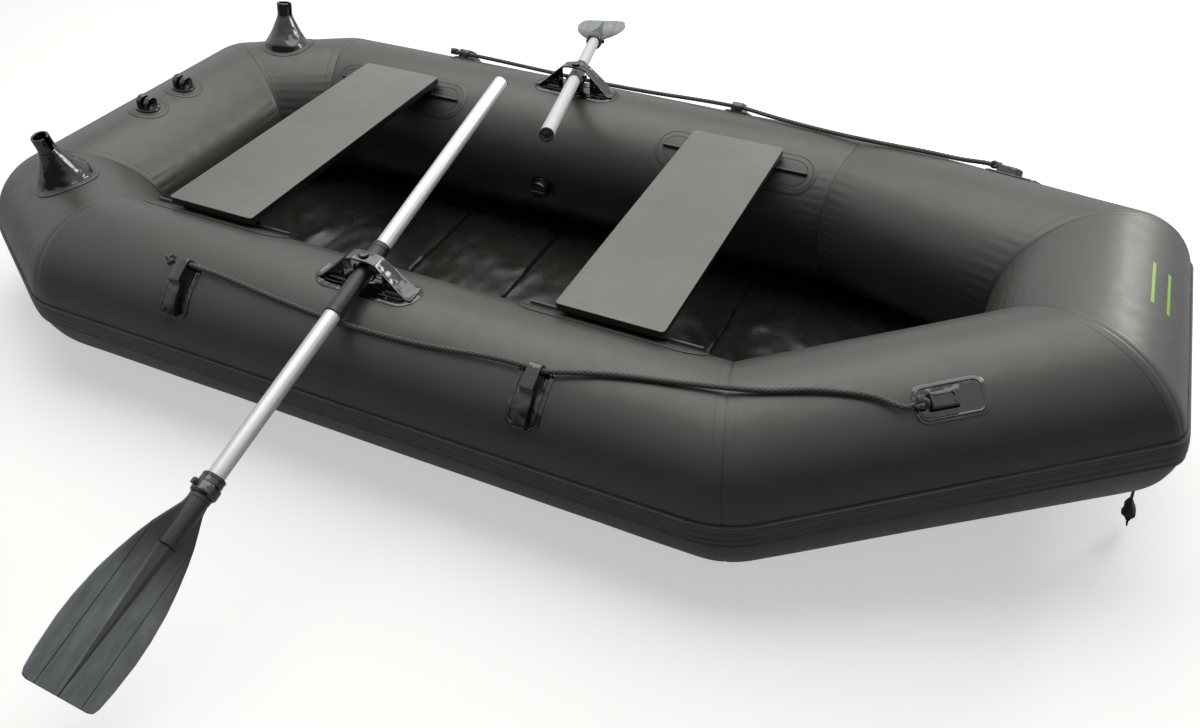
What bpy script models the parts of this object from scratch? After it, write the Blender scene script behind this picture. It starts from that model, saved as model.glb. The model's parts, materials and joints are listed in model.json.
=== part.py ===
"""Two-seat inflatable rowing boat: hull tube panels, bottom sheet, slatted floor, sliding
seats, oarlocks with two oars, rod holders, stern sockets, rope cleats, valve and ropes.

Metres. +X points to the bow, +Y to port and +Z up. The origin lies on the underside of the
bottom sheet, on the centre line, midway between the seats.
"""

import math

import bmesh
import bpy
from mathutils import Matrix, Vector

# Shared clearances and meshing
SEAM_GAP = 0.0003
RUNNING_GAP = 0.0002
CUT_OVERRUN = 0.004
MERGE_DISTANCE = 0.00001
GIRTH_STEP = math.radians(5)
ROUND_SIDES = 24
SMOOTH_ANGLE = math.radians(35)

# Hull tube centre line, one side of the boat
TUBE_RADIUS = 0.160
TUBE_SIDES = 48
SHEET_THICKNESS = 0.0012
SIDE_HALF_WIDTH = 0.420
KINK_X = 0.674
BOW_X = 1.150
BOW_HALF_WIDTH = 0.157
BOW_RISE = 0.103
QUARTER_X = -0.643
STERN_X = -0.859
STERN_HALF_WIDTH = 0.293
KINK_ROUNDING = 0.060
BOW_ROUNDING = 0.026
QUARTER_ROUNDING = 0.040
STERN_ROUNDING = 0.068
INNER_ROUNDING_SHARE = 0.15
TUBE_Z = SHEET_THICKNESS + SEAM_GAP + TUBE_RADIUS
CROWN_Z = TUBE_Z + TUBE_RADIUS
BOW_TILT = math.atan(BOW_RISE / (BOW_X - KINK_X))

# Rubbing strake round the outside of the tube
STRAKE_FROM = math.radians(83)
STRAKE_TO = math.radians(101)
STRAKE_RIBS = 4
STRAKE_BASE = 0.0022
STRAKE_RIB = 0.0018
STRAKE_RIB_SHARES = ((0.0, 0), (0.25, 1), (0.75, 1))

# Bottom sheet and floor slats
SHEET_LAP = 0.020
SLAT_THICKNESS = 0.009
SLAT_INSET = 0.130
SLAT_HALF_WIDTH = SIDE_HALF_WIDTH - SLAT_INSET
SLAT_PITCH = 0.2434
SLAT_GAP = 0.004
SLAT_COUNT = 4
FIRST_SLAT_X = -0.473
SLAT_CORNER = 0.012

# Sliding seats
SEAT_INSET = 0.080
SEAT_LENGTH = 2 * (SIDE_HALF_WIDTH - SEAT_INSET)
SEAT_DEPTH = 0.200
SEAT_THICKNESS = 0.015
SEAT_RISE = 0.0025
SEAT_TOP_Z = CROWN_Z + SEAT_RISE
SEAT_X = 0.4205
SEAT_CORNER = 0.008
SEAT_EDGE = 0.0012
RAIL_ANGLE = math.radians(-40)
RAIL_PATCH_LENGTH = 0.360
RAIL_PATCH_WIDTH = 0.095
RAIL_PATCH_THICKNESS = 0.0015
RAIL_LENGTH = 0.322
RAIL_WEB = 0.002
BEAD_RADIUS = 0.003
BEAD_HEIGHT = 0.006
BEAD_CLEARANCE = 0.0006
TRACK_LENGTH = 0.190
TRACK_WALL = 0.0025
TRACK_SLOT = 0.0036
TRACK_STEM = 0.004
TRACK_FLANGE = 0.030
TRACK_FLANGE_THICKNESS = 0.003
TRACK_ARC_STEPS = 8
BEAD_SIDES = 12

# Oarlocks
LOCK_X = 0.0
LOCK_PIVOT_RISE = 0.0305
LOCK_PIVOT_Z = CROWN_Z + LOCK_PIVOT_RISE
LOCK_BASE_LENGTH = 0.210
LOCK_BASE_WIDTH = 0.070
LOCK_BASE_THICKNESS = 0.0025
ARCH_WIDTH = 0.028
ARCH_THICKNESS = 0.004
ARCH_FOOT = 0.097
ARCH_APEX = 0.016
ARCH_SHOULDER = 0.029
ARCH_RISE = 0.024
ARCH_SHOULDER_DROP = 0.0035
ARCH_TOE = 0.012
ARCH_SINK = 0.001
BOSS_RADIUS = 0.008
BOSS_THICKNESS = 0.0012
PIN_RADIUS = 0.004
PIN_BORE = 0.0042
CAP_RADIUS = 0.009
CAP_HEIGHT = 0.005
CAP_CROWN = 0.0015
YOKE_BORE = 0.0195
YOKE_THICKNESS = 0.003
YOKE_WIDTH = 0.014
YOKE_DROP = 0.009
TRUNNION_RADIUS = 0.003
TRUNNION_BORE = 0.0032
RIVET_RADIUS = 0.005
RIVET_HEIGHT = 0.002

# Oars, measured outboard from the pivot along the shaft
SHAFT_RADIUS = 0.014
SHAFT_WALL = 0.0015
HANDLE_REACH = 0.520
SHAFT_REACH = 0.545
SLEEVE_RADIUS = 0.0165
SLEEVE_INBOARD = 0.055
SLEEVE_OUTBOARD = 0.106
END_CAP_LENGTH = 0.022
END_CAP_FLANGE = 0.003
END_CAP_ROUNDING = 0.001
COLLAR_FROM = 0.437
COLLAR_LENGTH = 0.035
COLLAR_RADIUS = 0.0190
COLLAR_SWELL = 0.0215
COLLAR_LUG_WIDTH = 0.010
COLLAR_LUG_REACH = 0.027
BLADE_ROOT = 0.4725
BLADE_TIP = 0.791
BLADE_HALF_WIDTH = 0.068
BLADE_THICKNESS = 0.005
SOCKET_RADIUS = 0.0175
SOCKET_END = 0.558
KEEL_THICKNESS = 0.004
KEEL_HEIGHT = 0.012
KEEL_END = 0.780
BLADE_SHARES = (
    (0.000, 0.25),
    (0.065, 0.29),
    (0.133, 0.43),
    (0.210, 0.58),
    (0.290, 0.70),
    (0.400, 0.83),
    (0.510, 0.93),
    (0.640, 0.99),
    (0.745, 1.00),
    (0.880, 0.955),
    (0.965, 0.90),
    (0.993, 0.84),
    (1.000, 0.72),
)

# Rest pose of each oar: swing towards the stern, dip of the tip, roll of the blade
STARBOARD_SWING = 0.0
STARBOARD_DIP = math.radians(14.5)
STARBOARD_ROLL = math.radians(-62)
PORT_SWING = math.radians(19.5)
PORT_DIP = math.radians(13)
PORT_ROLL = 0.0

# Rod holders on the quarter tubes
HOLDER_SHARE = 0.583
HOLDER_ANGLE = math.radians(6)
HOLDER_LEAN = math.radians(11)
HOLDER_PATCH_RADIUS = 0.066
HOLDER_PATCH_THICKNESS = 0.0015
HOLDER_BASE_RADIUS = 0.052
HOLDER_WAIST_RADIUS = 0.019
HOLDER_TOP_RADIUS = 0.0175
HOLDER_HEIGHT = 0.096
HOLDER_COLLAR = 0.032
HOLDER_BORE = 0.0130
HOLDER_DEPTH = 0.080
HOLDER_SKIRT = 0.017
HOLDER_RIM = 0.003
HOLDER_FLARE_SHARES = ((0.08, 0.94), (0.40, 0.58), (0.80, 0.17))
HOLDER_SLOT = 0.004

# Stern sockets
SOCKET_Y = 0.057
SOCKET_INSET = 0.018
SOCKET_X = STERN_X + SOCKET_INSET
SOCKET_PATCH_RADIUS = 0.044
SOCKET_PATCH_THICKNESS = 0.0012
SOCKET_DISC_RADIUS = 0.026
SOCKET_DISC_THICKNESS = 0.004
EAR_WIDTH = 0.030
EAR_HEIGHT = 0.026
EAR_THICKNESS = 0.0125
EAR_GAP = 0.008
EAR_SINK = 0.0015
EAR_CHAMFER = 0.009
EAR_BORE = 0.0035
EAR_BORE_HEIGHT = 0.0145

# Rope cleats and grab ropes
CLEAT_ANGLE = math.radians(42)
CLEAT_X = (-0.342, 0.366)
BOW_CLEAT_SHARE = 0.590
BOW_CLEAT_ANGLE = math.radians(37.5)
CLEAT_LENGTH = 0.108
CLEAT_WIDTH = 0.062
CLEAT_THICKNESS = 0.003
CLEAT_CORNER = 0.018
BLOCK_LENGTH = 0.104
BLOCK_WIDTH = 0.028
BLOCK_HEIGHT = 0.022
BLOCK_STEP = 0.014
BLOCK_STEP_SHARE = 0.45
BLOCK_SINK = 0.001
BLOCK_SLOPE = 0.004
ROPE_RADIUS = 0.0047
ROPE_HOLE = 0.0056
ROPE_HOLE_INSET = 0.009
ROPE_HOLE_HEIGHT = 0.0118
ROPE_TAIL = 0.016
ROPE_LIFT = 0.0012
ROPE_STEP = 0.026
ROPE_LEAD = 0.020
ROPE_ROUTE_SHARES = (
    (0.10, 0.12),
    (0.30, 0.62),
    (0.50, 0.95),
    (0.70, 0.76),
    (0.90, 0.13),
)
ROPE_SAG = 0.0200
ROPE_ROUTE = ((0.480, 16.5), (0.600, 8.0), (0.726, 12.3), (0.800, 19.5), (0.860, 28.5))

# Valve on the inner face of the port side tube
VALVE_X = -0.016
VALVE_ANGLE = math.radians(-96.6)
VALVE_FLANGE_RADIUS = 0.031
VALVE_FLANGE_THICKNESS = 0.003
VALVE_BODY_RADIUS = 0.021
VALVE_BODY_HEIGHT = 0.008
VALVE_SINK = 0.0015
VALVE_CAP_RADIUS = 0.0225
VALVE_CAP_HEIGHT = 0.010
VALVE_CAP_ROUNDING = 0.002
VALVE_GRIP_WIDTH = 0.008
VALVE_GRIP_HEIGHT = 0.006

# Tow patch and tow strap under the bow
TOW_Y = 0.136
TOW_ANGLE = math.radians(132)
TOW_PATCH_LENGTH = 0.070
TOW_PATCH_WIDTH = 0.056
TOW_PATCH_THICKNESS = 0.002
TOW_PATCH_CORNER = 0.012
KEEPER_LENGTH = 0.016
KEEPER_WIDTH = 0.034
KEEPER_HEIGHT = 0.010
STRAP_WIDTH = 0.024
STRAP_THICKNESS = 0.003
STRAP_DROP = 0.156
STRAP_FORWARD = 0.017
STRAP_TURN_SHARE = 0.2
STRAP_SHARES = (
    (0.00, 1.00, 1.0),
    (0.25, 1.00, 1.0),
    (0.50, 0.95, 1.0),
    (0.68, 0.85, 1.3),
    (0.74, 1.00, 4.5),
    (0.80, 1.28, 8.0),
    (0.86, 1.20, 8.0),
    (0.91, 0.85, 4.0),
    (0.95, 0.90, 1.4),
    (1.00, 1.00, 1.2),
)

PORT = 1
STARBOARD = -1
SIDES = (("port", PORT), ("starboard", STARBOARD))
UP = Vector((0, 0, 1))


def clear_scene():
    """Removes every object that is already in the scene."""
    for found in list(bpy.data.objects):
        bpy.data.objects.remove(found, do_unlink=True)


def make_material(name, colour, roughness, metallic=0.0):
    """A Principled BSDF material of one colour."""
    material = bpy.data.materials.new(name)
    material.use_nodes = True
    shader = material.node_tree.nodes["Principled BSDF"]
    shader.inputs["Base Color"].default_value = (*colour, 1)
    shader.inputs["Roughness"].default_value = roughness
    shader.inputs["Metallic"].default_value = metallic
    return material


def make_object(name, source, material, matrix=None, parent=None):
    """Turns a bmesh into a named object that shades smooth between its sharp edges."""
    bmesh.ops.recalc_face_normals(source, faces=source.faces[:])
    if source.calc_volume(signed=True) < 0:
        bmesh.ops.reverse_faces(source, faces=source.faces[:])
    mesh = bpy.data.meshes.new(name)
    source.to_mesh(mesh)
    source.free()
    mesh.shade_smooth()
    mesh.set_sharp_from_angle(angle=SMOOTH_ANGLE)
    made = bpy.data.objects.new(name, mesh)
    bpy.context.scene.collection.objects.link(made)
    if matrix is not None:
        made.matrix_world = matrix
    if parent is not None:
        made.parent = parent
        made.matrix_basis = matrix if matrix is not None else Matrix.Identity(4)
    if material is not None:
        made.data.materials.append(material)
    return made


def make_empty(name, matrix, parent=None):
    """An empty that carries moving pieces, placed in its parent's frame."""
    made = bpy.data.objects.new(name, None)
    bpy.context.scene.collection.objects.link(made)
    made.parent = parent
    made.matrix_basis = matrix
    return made


def combined(base, other, operation):
    """The exact Boolean of two closed bmeshes, as a new bmesh."""
    for shape in (base, other):
        bmesh.ops.triangulate(shape, faces=shape.faces[:])
    first = make_object("boolean_base", base, None)
    second = make_object("boolean_tool", other, None)
    modifier = first.modifiers.new("boolean", "BOOLEAN")
    modifier.object = second
    modifier.operation = operation
    modifier.solver = "EXACT"
    bpy.context.view_layer.update()
    graph = bpy.context.evaluated_depsgraph_get()
    result = bmesh.new()
    result.from_mesh(first.evaluated_get(graph).to_mesh())
    for leftover in (first, second):
        bpy.data.objects.remove(leftover, do_unlink=True)
    bmesh.ops.remove_doubles(result, verts=result.verts[:], dist=MERGE_DISTANCE)
    return result


def joined(base, *others):
    """Every body joined to the first one."""
    for other in others:
        base = combined(base, other, "UNION")
    return base


def trimmed(base, *cutters):
    """The first body with the cutters taken away."""
    for cutter in cutters:
        base = combined(base, cutter, "DIFFERENCE")
    return base


def lofted(rings, closed=False):
    """A skin over rings of equal point counts: capped at both ends, or one closed loop."""
    shape = bmesh.new()
    rows = [[shape.verts.new(point) for point in ring] for ring in rings]
    count = len(rows[0])
    pairs = list(zip(rows, rows[1:]))
    if closed:
        pairs.append((rows[-1], rows[0]))
    for low, high in pairs:
        for index in range(count):
            after = (index + 1) % count
            shape.faces.new((low[index], low[after], high[after], high[index]))
    if not closed:
        shape.faces.new(rows[0])
        shape.faces.new(rows[-1])
    return shape


def turned(profile, sides=ROUND_SIDES):
    """A solid turned about Z from (radius, height) points, which start and end on the axis."""
    shape = bmesh.new()
    rows = []
    for radius, height in profile:
        if radius == 0:
            rows.append([shape.verts.new((0, 0, height))])
            continue
        row = []
        for side in range(sides):
            angle = math.tau * side / sides
            row.append(shape.verts.new((radius * math.cos(angle), radius * math.sin(angle), height)))
        rows.append(row)
    for low, high in zip(rows, rows[1:]):
        for side in range(sides):
            after = (side + 1) % sides
            corners = [row[at % len(row)] for row, at in ((low, side), (low, after), (high, after), (high, side))]
            shape.faces.new(list(dict.fromkeys(corners)))
    return shape


def turned_ring(profile, sides=ROUND_SIDES):
    """A ring turned about Z from a closed loop of (radius, height) points."""
    rings = []
    for side in range(sides):
        angle = math.tau * side / sides
        rings.append([(radius * math.cos(angle), radius * math.sin(angle), height) for radius, height in profile])
    return lofted(rings, closed=True)


def extruded(outline, depth, start=0.0):
    """A flat outline in X and Y, made solid from a start height over a depth along Z."""
    low = [(x, y, start) for x, y in outline]
    high = [(x, y, start + depth) for x, y in outline]
    return lofted([low, high])


def moved(shape, matrix):
    """The same bmesh, transformed."""
    bmesh.ops.transform(shape, matrix=matrix, verts=shape.verts[:])
    return shape


def arc(centre, radius, start, end, steps):
    """Points on an arc, both ends included."""
    points = []
    for step in range(steps + 1):
        angle = start + (end - start) * step / steps
        points.append((centre[0] + radius * math.cos(angle), centre[1] + radius * math.sin(angle)))
    return points


def circle(radius, sides=ROUND_SIDES):
    """The points of a round outline."""
    return arc((0, 0), radius, 0, math.tau * (sides - 1) / sides, sides - 1)


def rounded_rectangle(length, width, corner, steps=3):
    """A rectangle about the origin whose corners are arcs."""
    points = []
    quarter = math.pi / 2
    for turn, (x_sign, y_sign) in enumerate(((1, 1), (-1, 1), (-1, -1), (1, -1))):
        centre = (x_sign * (length / 2 - corner), y_sign * (width / 2 - corner))
        points += arc(centre, corner, turn * quarter, (turn + 1) * quarter, steps)
    return points


def stadium(length, width, steps=6):
    """An outline with straight sides and half-round ends."""
    reach = length / 2 - width / 2
    quarter = math.pi / 2
    right = arc((reach, 0), width / 2, -quarter, quarter, steps)
    left = arc((-reach, 0), width / 2, quarter, 3 * quarter, steps)
    return right + left


def spun_to(direction, up_hint=UP):
    """A rotation whose local Z points along a direction."""
    z_axis = direction.normalized()
    x_axis = up_hint.cross(z_axis).normalized()
    return Matrix((x_axis, z_axis.cross(x_axis), z_axis)).transposed().to_4x4()


class HullTube:
    """One straight panel of the hull tube, between the mitre planes at its two corners."""

    def __init__(self, name, corners, normals, roundings, ups):
        """Stores both corners, mitre normals, corner roundings and the ring's up vectors."""
        self.name = name
        self.corners = corners
        self.normals = normals
        self.roundings = roundings
        self.ups = ups
        self.along = (corners[1] - corners[0]).normalized()

    def ring_point(self, end, bend, angle, height=0.0, inset=0.0):
        """A wall point near one end: bend 0 ends the straight part, 0.5 is the mitre plane."""
        corner = self.corners[end]
        normal = self.normals[end]
        up = self.ups[end]
        spoke = math.cos(angle) * up + math.sin(angle) * up.cross(self.along)
        spoke *= TUBE_RADIUS + height
        inward = self.along if end == 0 else -self.along
        apex = corner + spoke - self.along * (spoke.dot(normal) / self.along.dot(normal))
        share = INNER_ROUNDING_SHARE + (1 - INNER_ROUNDING_SHARE) * max(0, math.sin(angle))
        near = apex + inward * self.roundings[end] * share
        far = near - 2 * (near - corner).dot(normal) * normal
        rest = 1 - bend
        return rest * rest * near + 2 * bend * rest * apex + bend * bend * far + inward * inset

    def wall_point(self, distance, angle, height=0.0):
        """A point on the straight part, at a distance from the first corner."""
        up = self.ups[1] if self.ups[0].z > self.ups[1].z else self.ups[0]
        spoke = math.cos(angle) * up + math.sin(angle) * up.cross(self.along)
        return self.corners[0] + self.along * distance + spoke * (TUBE_RADIUS + height)

    def spot(self, distance, angle, height=0.0):
        """The frame of a wall point: X along the tube, Y round the girth, Z outwards."""
        here = self.wall_point(distance, angle, height)
        normal = (here - self.wall_point(distance, angle, -TUBE_RADIUS)).normalized()
        girth = normal.cross(self.along)
        return Matrix.Translation(here) @ Matrix((self.along, girth, normal)).transposed().to_4x4()

    def wrapped(self, shape, distance, angle, turn=0.0):
        """Bends a flat solid round the tube: its Y follows the girth, its Z leaves the wall."""
        moved(shape, Matrix.Rotation(turn, 4, "Z"))
        step = GIRTH_STEP * TUBE_RADIUS
        reach = max(abs(vert.co.y) for vert in shape.verts)
        for index in range(-math.floor(reach / step), math.floor(reach / step) + 1):
            parts = shape.verts[:] + shape.edges[:] + shape.faces[:]
            bmesh.ops.bisect_plane(
                shape, geom=parts, plane_co=(0, index * step, 0), plane_no=(0, 1, 0), dist=MERGE_DISTANCE
            )
        for vert in shape.verts:
            offset, girth, height = vert.co
            vert.co = self.wall_point(distance + offset, angle + girth / TUBE_RADIUS, SEAM_GAP + height)
        return shape


def hull_loop():
    """The eight tubes in order round the boat, from the port stern corner to the bow and back."""
    port = [
        (Vector((STERN_X, STERN_HALF_WIDTH, TUBE_Z)), STERN_ROUNDING),
        (Vector((QUARTER_X, SIDE_HALF_WIDTH, TUBE_Z)), QUARTER_ROUNDING),
        (Vector((KINK_X, SIDE_HALF_WIDTH, TUBE_Z)), KINK_ROUNDING),
        (Vector((BOW_X, BOW_HALF_WIDTH, TUBE_Z + BOW_RISE)), BOW_ROUNDING),
    ]
    starboard = [(Vector((at.x, -at.y, at.z)), rounding) for at, rounding in reversed(port)]
    corners = port + starboard
    names = (
        "port_quarter_tube",
        "port_side_tube",
        "port_bow_side_tube",
        "bow_tube",
        "starboard_bow_side_tube",
        "starboard_side_tube",
        "starboard_quarter_tube",
        "stern_tube",
    )
    count = len(corners)
    ways = [(corners[(i + 1) % count][0] - corners[i][0]).normalized() for i in range(count)]
    mitres = [(ways[i - 1] + ways[i]).normalized() for i in range(count)]
    bow_up = Vector((-math.sin(BOW_TILT), 0, math.cos(BOW_TILT)))
    tubes = []
    for index, name in enumerate(names):
        after = (index + 1) % count
        ups = [UP, UP]
        if "bow" in name:
            ups = [bow_up, bow_up]
        if name == "port_bow_side_tube":
            ups[0] = UP - 2 * UP.dot(mitres[index]) * mitres[index]
        if name == "starboard_bow_side_tube":
            ups[1] = UP - 2 * UP.dot(mitres[after]) * mitres[after]
        tubes.append(
            HullTube(
                name,
                (corners[index][0], corners[after][0]),
                (mitres[index], mitres[after]),
                (corners[index][1], corners[after][1]),
                ups,
            )
        )
    return tubes


def build_tubes(tubes, material):
    """One closed inflated solid for each tube panel."""
    angles = [math.tau * side / TUBE_SIDES for side in range(TUBE_SIDES)]
    for tube in tubes:
        rings = []
        for end, bend in ((0, 0.5), (0, 0), (1, 0), (1, 0.5)):
            rings.append([tube.ring_point(end, bend, angle, inset=SEAM_GAP / 2) for angle in angles])
        make_object(tube.name, lofted(rings), material)


def strake_section():
    """The (angle, height) points of the strake's section, ribs on the outside."""
    span = STRAKE_TO - STRAKE_FROM
    inner_steps = math.ceil(span / GIRTH_STEP)
    outer = []
    for rib in range(STRAKE_RIBS):
        for share, raised in STRAKE_RIB_SHARES:
            angle = STRAKE_FROM + span * (rib + share) / STRAKE_RIBS
            outer.append((angle, STRAKE_BASE + raised * STRAKE_RIB))
    outer.append((STRAKE_TO, STRAKE_BASE))
    inner = [(STRAKE_TO - span * step / inner_steps, 0.0) for step in range(inner_steps + 1)]
    return outer + inner


def build_strake(tubes, material):
    """The ribbed band that runs right round the outside of the hull."""
    section = strake_section()
    rings = []
    for tube in tubes:
        for end, bend in ((0, 0.5), (0, 0), (1, 0)):
            rings.append([tube.ring_point(end, bend, angle, SEAM_GAP + height) for angle, height in section])
    make_object("rubbing_strake", lofted(rings, closed=True), material)


def build_bottom(material):
    """The bottom sheet: flat under the cockpit, then rising with the bow."""
    fold_x = KINK_X + TUBE_RADIUS * math.tan(BOW_TILT / 2)
    front_x = BOW_X + (TUBE_RADIUS + SEAM_GAP) * math.sin(BOW_TILT) + SHEET_LAP
    half = [
        (STERN_X - SHEET_LAP, STERN_HALF_WIDTH + SHEET_LAP / 2),
        (QUARTER_X - SHEET_LAP / 2, SIDE_HALF_WIDTH + SHEET_LAP),
        (fold_x, SIDE_HALF_WIDTH + SHEET_LAP),
        (front_x, BOW_HALF_WIDTH + SHEET_LAP / 2),
    ]
    rings = []
    for x, y in half:
        rise = max(0, x - fold_x) * math.tan(BOW_TILT)
        low = rise
        high = rise + SHEET_THICKNESS
        rings.append([(x, -y, low), (x, y, low), (x, y, high), (x, -y, high)])
    make_object("bottom_sheet", lofted(rings), material)


def build_slats(material):
    """The floor slats, laid across the bottom sheet."""
    for index in range(SLAT_COUNT):
        outline = rounded_rectangle(SLAT_PITCH - SLAT_GAP, 2 * SLAT_HALF_WIDTH, SLAT_CORNER)
        centre = Vector((FIRST_SLAT_X + SLAT_PITCH * (index + 0.5), 0, SHEET_THICKNESS + SEAM_GAP))
        name = f"floor_slat_{index + 1}"
        make_object(name, extruded(outline, SLAT_THICKNESS), material, Matrix.Translation(centre))


def bead_centre():
    """The rail bead's centre in Y and Z, on the starboard side of the cockpit."""
    reach = TUBE_RADIUS + SEAM_GAP + RAIL_PATCH_THICKNESS + BEAD_HEIGHT
    return (-SIDE_HALF_WIDTH - reach * math.sin(RAIL_ANGLE), TUBE_Z + reach * math.cos(RAIL_ANGLE))


def rail_shape(tube, distance):
    """A welded patch with the web and bead that a seat slides on."""
    patch = extruded(stadium(RAIL_PATCH_LENGTH, RAIL_PATCH_WIDTH), RAIL_PATCH_THICKNESS)
    patch = tube.wrapped(patch, distance, RAIL_ANGLE)
    web = extruded(
        [
            (-RAIL_LENGTH / 2, -RAIL_WEB / 2),
            (RAIL_LENGTH / 2, -RAIL_WEB / 2),
            (RAIL_LENGTH / 2, RAIL_WEB / 2),
            (-RAIL_LENGTH / 2, RAIL_WEB / 2),
        ],
        BEAD_HEIGHT + RAIL_PATCH_THICKNESS / 2,
        RAIL_PATCH_THICKNESS / 2,
    )
    bead = moved(extruded(circle(BEAD_RADIUS, BEAD_SIDES), RAIL_LENGTH), Matrix.Rotation(math.pi / 2, 4, "Y"))
    moved(bead, Matrix.Translation((-RAIL_LENGTH / 2, 0, RAIL_PATCH_THICKNESS + BEAD_HEIGHT)))
    spot = tube.spot(distance, RAIL_ANGLE, SEAM_GAP)
    return joined(patch, moved(joined(web, bead), spot))


def track_outline():
    """The seat track's section in Y and Z: a flange, a stem and a channel round the bead."""
    centre = bead_centre()
    inner = BEAD_RADIUS + BEAD_CLEARANCE
    outer = inner + TRACK_WALL
    flange_top = SEAT_TOP_Z - SEAT_THICKNESS - SEAM_GAP
    flange_low = flange_top - TRACK_FLANGE_THICKNESS
    down = math.atan2(TUBE_Z - centre[1], -SIDE_HALF_WIDTH - centre[0])
    inner_half = math.asin(TRACK_SLOT / 2 / inner)
    outer_half = math.asin(TRACK_SLOT / 2 / outer)
    stem_half = math.asin(TRACK_STEM / 2 / outer)
    quarter = math.pi / 2
    left = centre[0] - TRACK_STEM / 2
    right = centre[0] + TRACK_STEM / 2
    points = [
        (left, flange_low),
        (centre[0] - TRACK_FLANGE / 2, flange_low),
        (centre[0] - TRACK_FLANGE / 2, flange_top),
        (centre[0] + TRACK_FLANGE / 2, flange_top),
        (centre[0] + TRACK_FLANGE / 2, flange_low),
        (right, flange_low),
    ]
    points += arc(centre, outer, quarter - stem_half, down + outer_half, TRACK_ARC_STEPS)
    points += arc(centre, inner, down + inner_half, down + math.tau - inner_half, 2 * TRACK_ARC_STEPS)
    points += arc(centre, outer, down + math.tau - outer_half, quarter + stem_half, TRACK_ARC_STEPS)
    return points


def build_seats(tubes, materials):
    """Both seats with their tracks, and the four rails that they slide on."""
    outline = track_outline()
    upright = Matrix(((0, 0, 1), (1, 0, 0), (0, 1, 0))).to_4x4()
    for place, seat_x in (("forward", SEAT_X), ("aft", -SEAT_X)):
        carrier = make_empty(f"{place}_seat_slide", Matrix.Translation((seat_x, 0, 0)))
        board = extruded(rounded_rectangle(SEAT_DEPTH, SEAT_LENGTH, SEAT_CORNER), SEAT_THICKNESS)
        lift = Matrix.Translation((0, 0, SEAT_TOP_Z - SEAT_THICKNESS))
        made = make_object(f"{place}_seat", board, materials["seat"], lift, carrier)
        bevel = made.modifiers.new("edge", "BEVEL")
        bevel.width = SEAT_EDGE
        bevel.segments = 2
        for side_name, side in SIDES:
            tube = tubes[f"{side_name}_side_tube"]
            distance = abs(seat_x - tube.corners[0].x)
            rail = rail_shape(tube, distance)
            make_object(f"{side_name}_{place}_seat_rail", rail, materials["patch"])
            section = [(-side * y, z) for y, z in outline]
            track = moved(extruded(section, TRACK_LENGTH, -TRACK_LENGTH / 2), upright)
            make_object(f"{side_name}_{place}_seat_track", track, materials["track"], parent=carrier)


def arch_outline():
    """The oarlock arch seen along Y, X outwards and Z up from the tube's crown."""
    apex = LOCK_PIVOT_Z + ARCH_RISE - CROWN_Z
    shoulder = apex - ARCH_SHOULDER_DROP
    foot = SEAM_GAP + LOCK_BASE_THICKNESS
    sole = SEAM_GAP + ARCH_SINK
    toe = ARCH_FOOT - ARCH_TOE
    inner = [(ARCH_APEX, apex), (ARCH_SHOULDER, shoulder), (toe - ARCH_THICKNESS, foot), (toe - ARCH_THICKNESS, sole)]
    outer = [
        (ARCH_FOOT, sole),
        (ARCH_FOOT, foot + ARCH_THICKNESS / 2),
        (toe + ARCH_THICKNESS, foot + ARCH_THICKNESS / 2),
        (ARCH_SHOULDER + ARCH_THICKNESS / 2, shoulder + ARCH_THICKNESS),
        (ARCH_APEX, apex + ARCH_THICKNESS),
    ]
    right = inner + outer
    left = [(-x, z) for x, z in reversed(right)]
    return right + left


def build_oarlock(side_name, side, tube, materials):
    """The fixed oarlock: a base welded to the tube's crown and an arch with a pin bore."""
    distance = abs(LOCK_X - tube.corners[0].x)
    base = extruded(stadium(LOCK_BASE_LENGTH, LOCK_BASE_WIDTH), LOCK_BASE_THICKNESS)
    base = tube.wrapped(base, distance, 0.0)
    stand = Matrix.Translation((LOCK_X, side * SIDE_HALF_WIDTH, CROWN_Z))
    upright = Matrix(((1, 0, 0), (0, 0, -1), (0, 1, 0))).to_4x4()
    arch = moved(extruded(arch_outline(), ARCH_WIDTH, -ARCH_WIDTH / 2), stand @ upright)
    underside = LOCK_PIVOT_Z + ARCH_RISE
    boss = extruded(circle(BOSS_RADIUS), BOSS_THICKNESS + ARCH_THICKNESS / 2, underside - BOSS_THICKNESS)
    bore = extruded(circle(PIN_BORE), 2 * CUT_OVERRUN + ARCH_THICKNESS + BOSS_THICKNESS, underside - CUT_OVERRUN)
    place = Matrix.Translation((LOCK_X, side * SIDE_HALF_WIDTH, 0))
    body = trimmed(joined(base, arch, moved(boss, place)), moved(bore, place))
    make_object(f"{side_name}_oarlock", body, materials["fitting"])


def yoke_shape():
    """The swivel yoke about the pivot, shaft along X: a saddle, two cheeks and a pin."""
    outer = YOKE_BORE + YOKE_THICKNESS
    half = math.pi
    section = [(outer, -YOKE_DROP)]
    section += arc((0, 0), outer, 0, half, ROUND_SIDES // 2)
    section += [(-outer, -YOKE_DROP), (-YOKE_BORE, -YOKE_DROP)]
    section += arc((0, 0), YOKE_BORE, half, 0, ROUND_SIDES // 2)
    section += [(YOKE_BORE, -YOKE_DROP)]
    across = Matrix(((0, 0, 1), (1, 0, 0), (0, 1, 0))).to_4x4()
    saddle = moved(extruded(section, YOKE_WIDTH, -YOKE_WIDTH / 2), across)
    pin_foot = outer - YOKE_THICKNESS / 2
    pin_top = ARCH_RISE + ARCH_THICKNESS + CAP_HEIGHT / 2
    pin = extruded(circle(PIN_RADIUS), pin_top - pin_foot, pin_foot)
    sideways = Matrix.Rotation(math.pi / 2, 4, "X")
    reach = outer + CUT_OVERRUN
    bore = moved(extruded(circle(TRUNNION_BORE), 2 * reach, -reach), sideways)
    return trimmed(joined(saddle, pin), bore)


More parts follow.
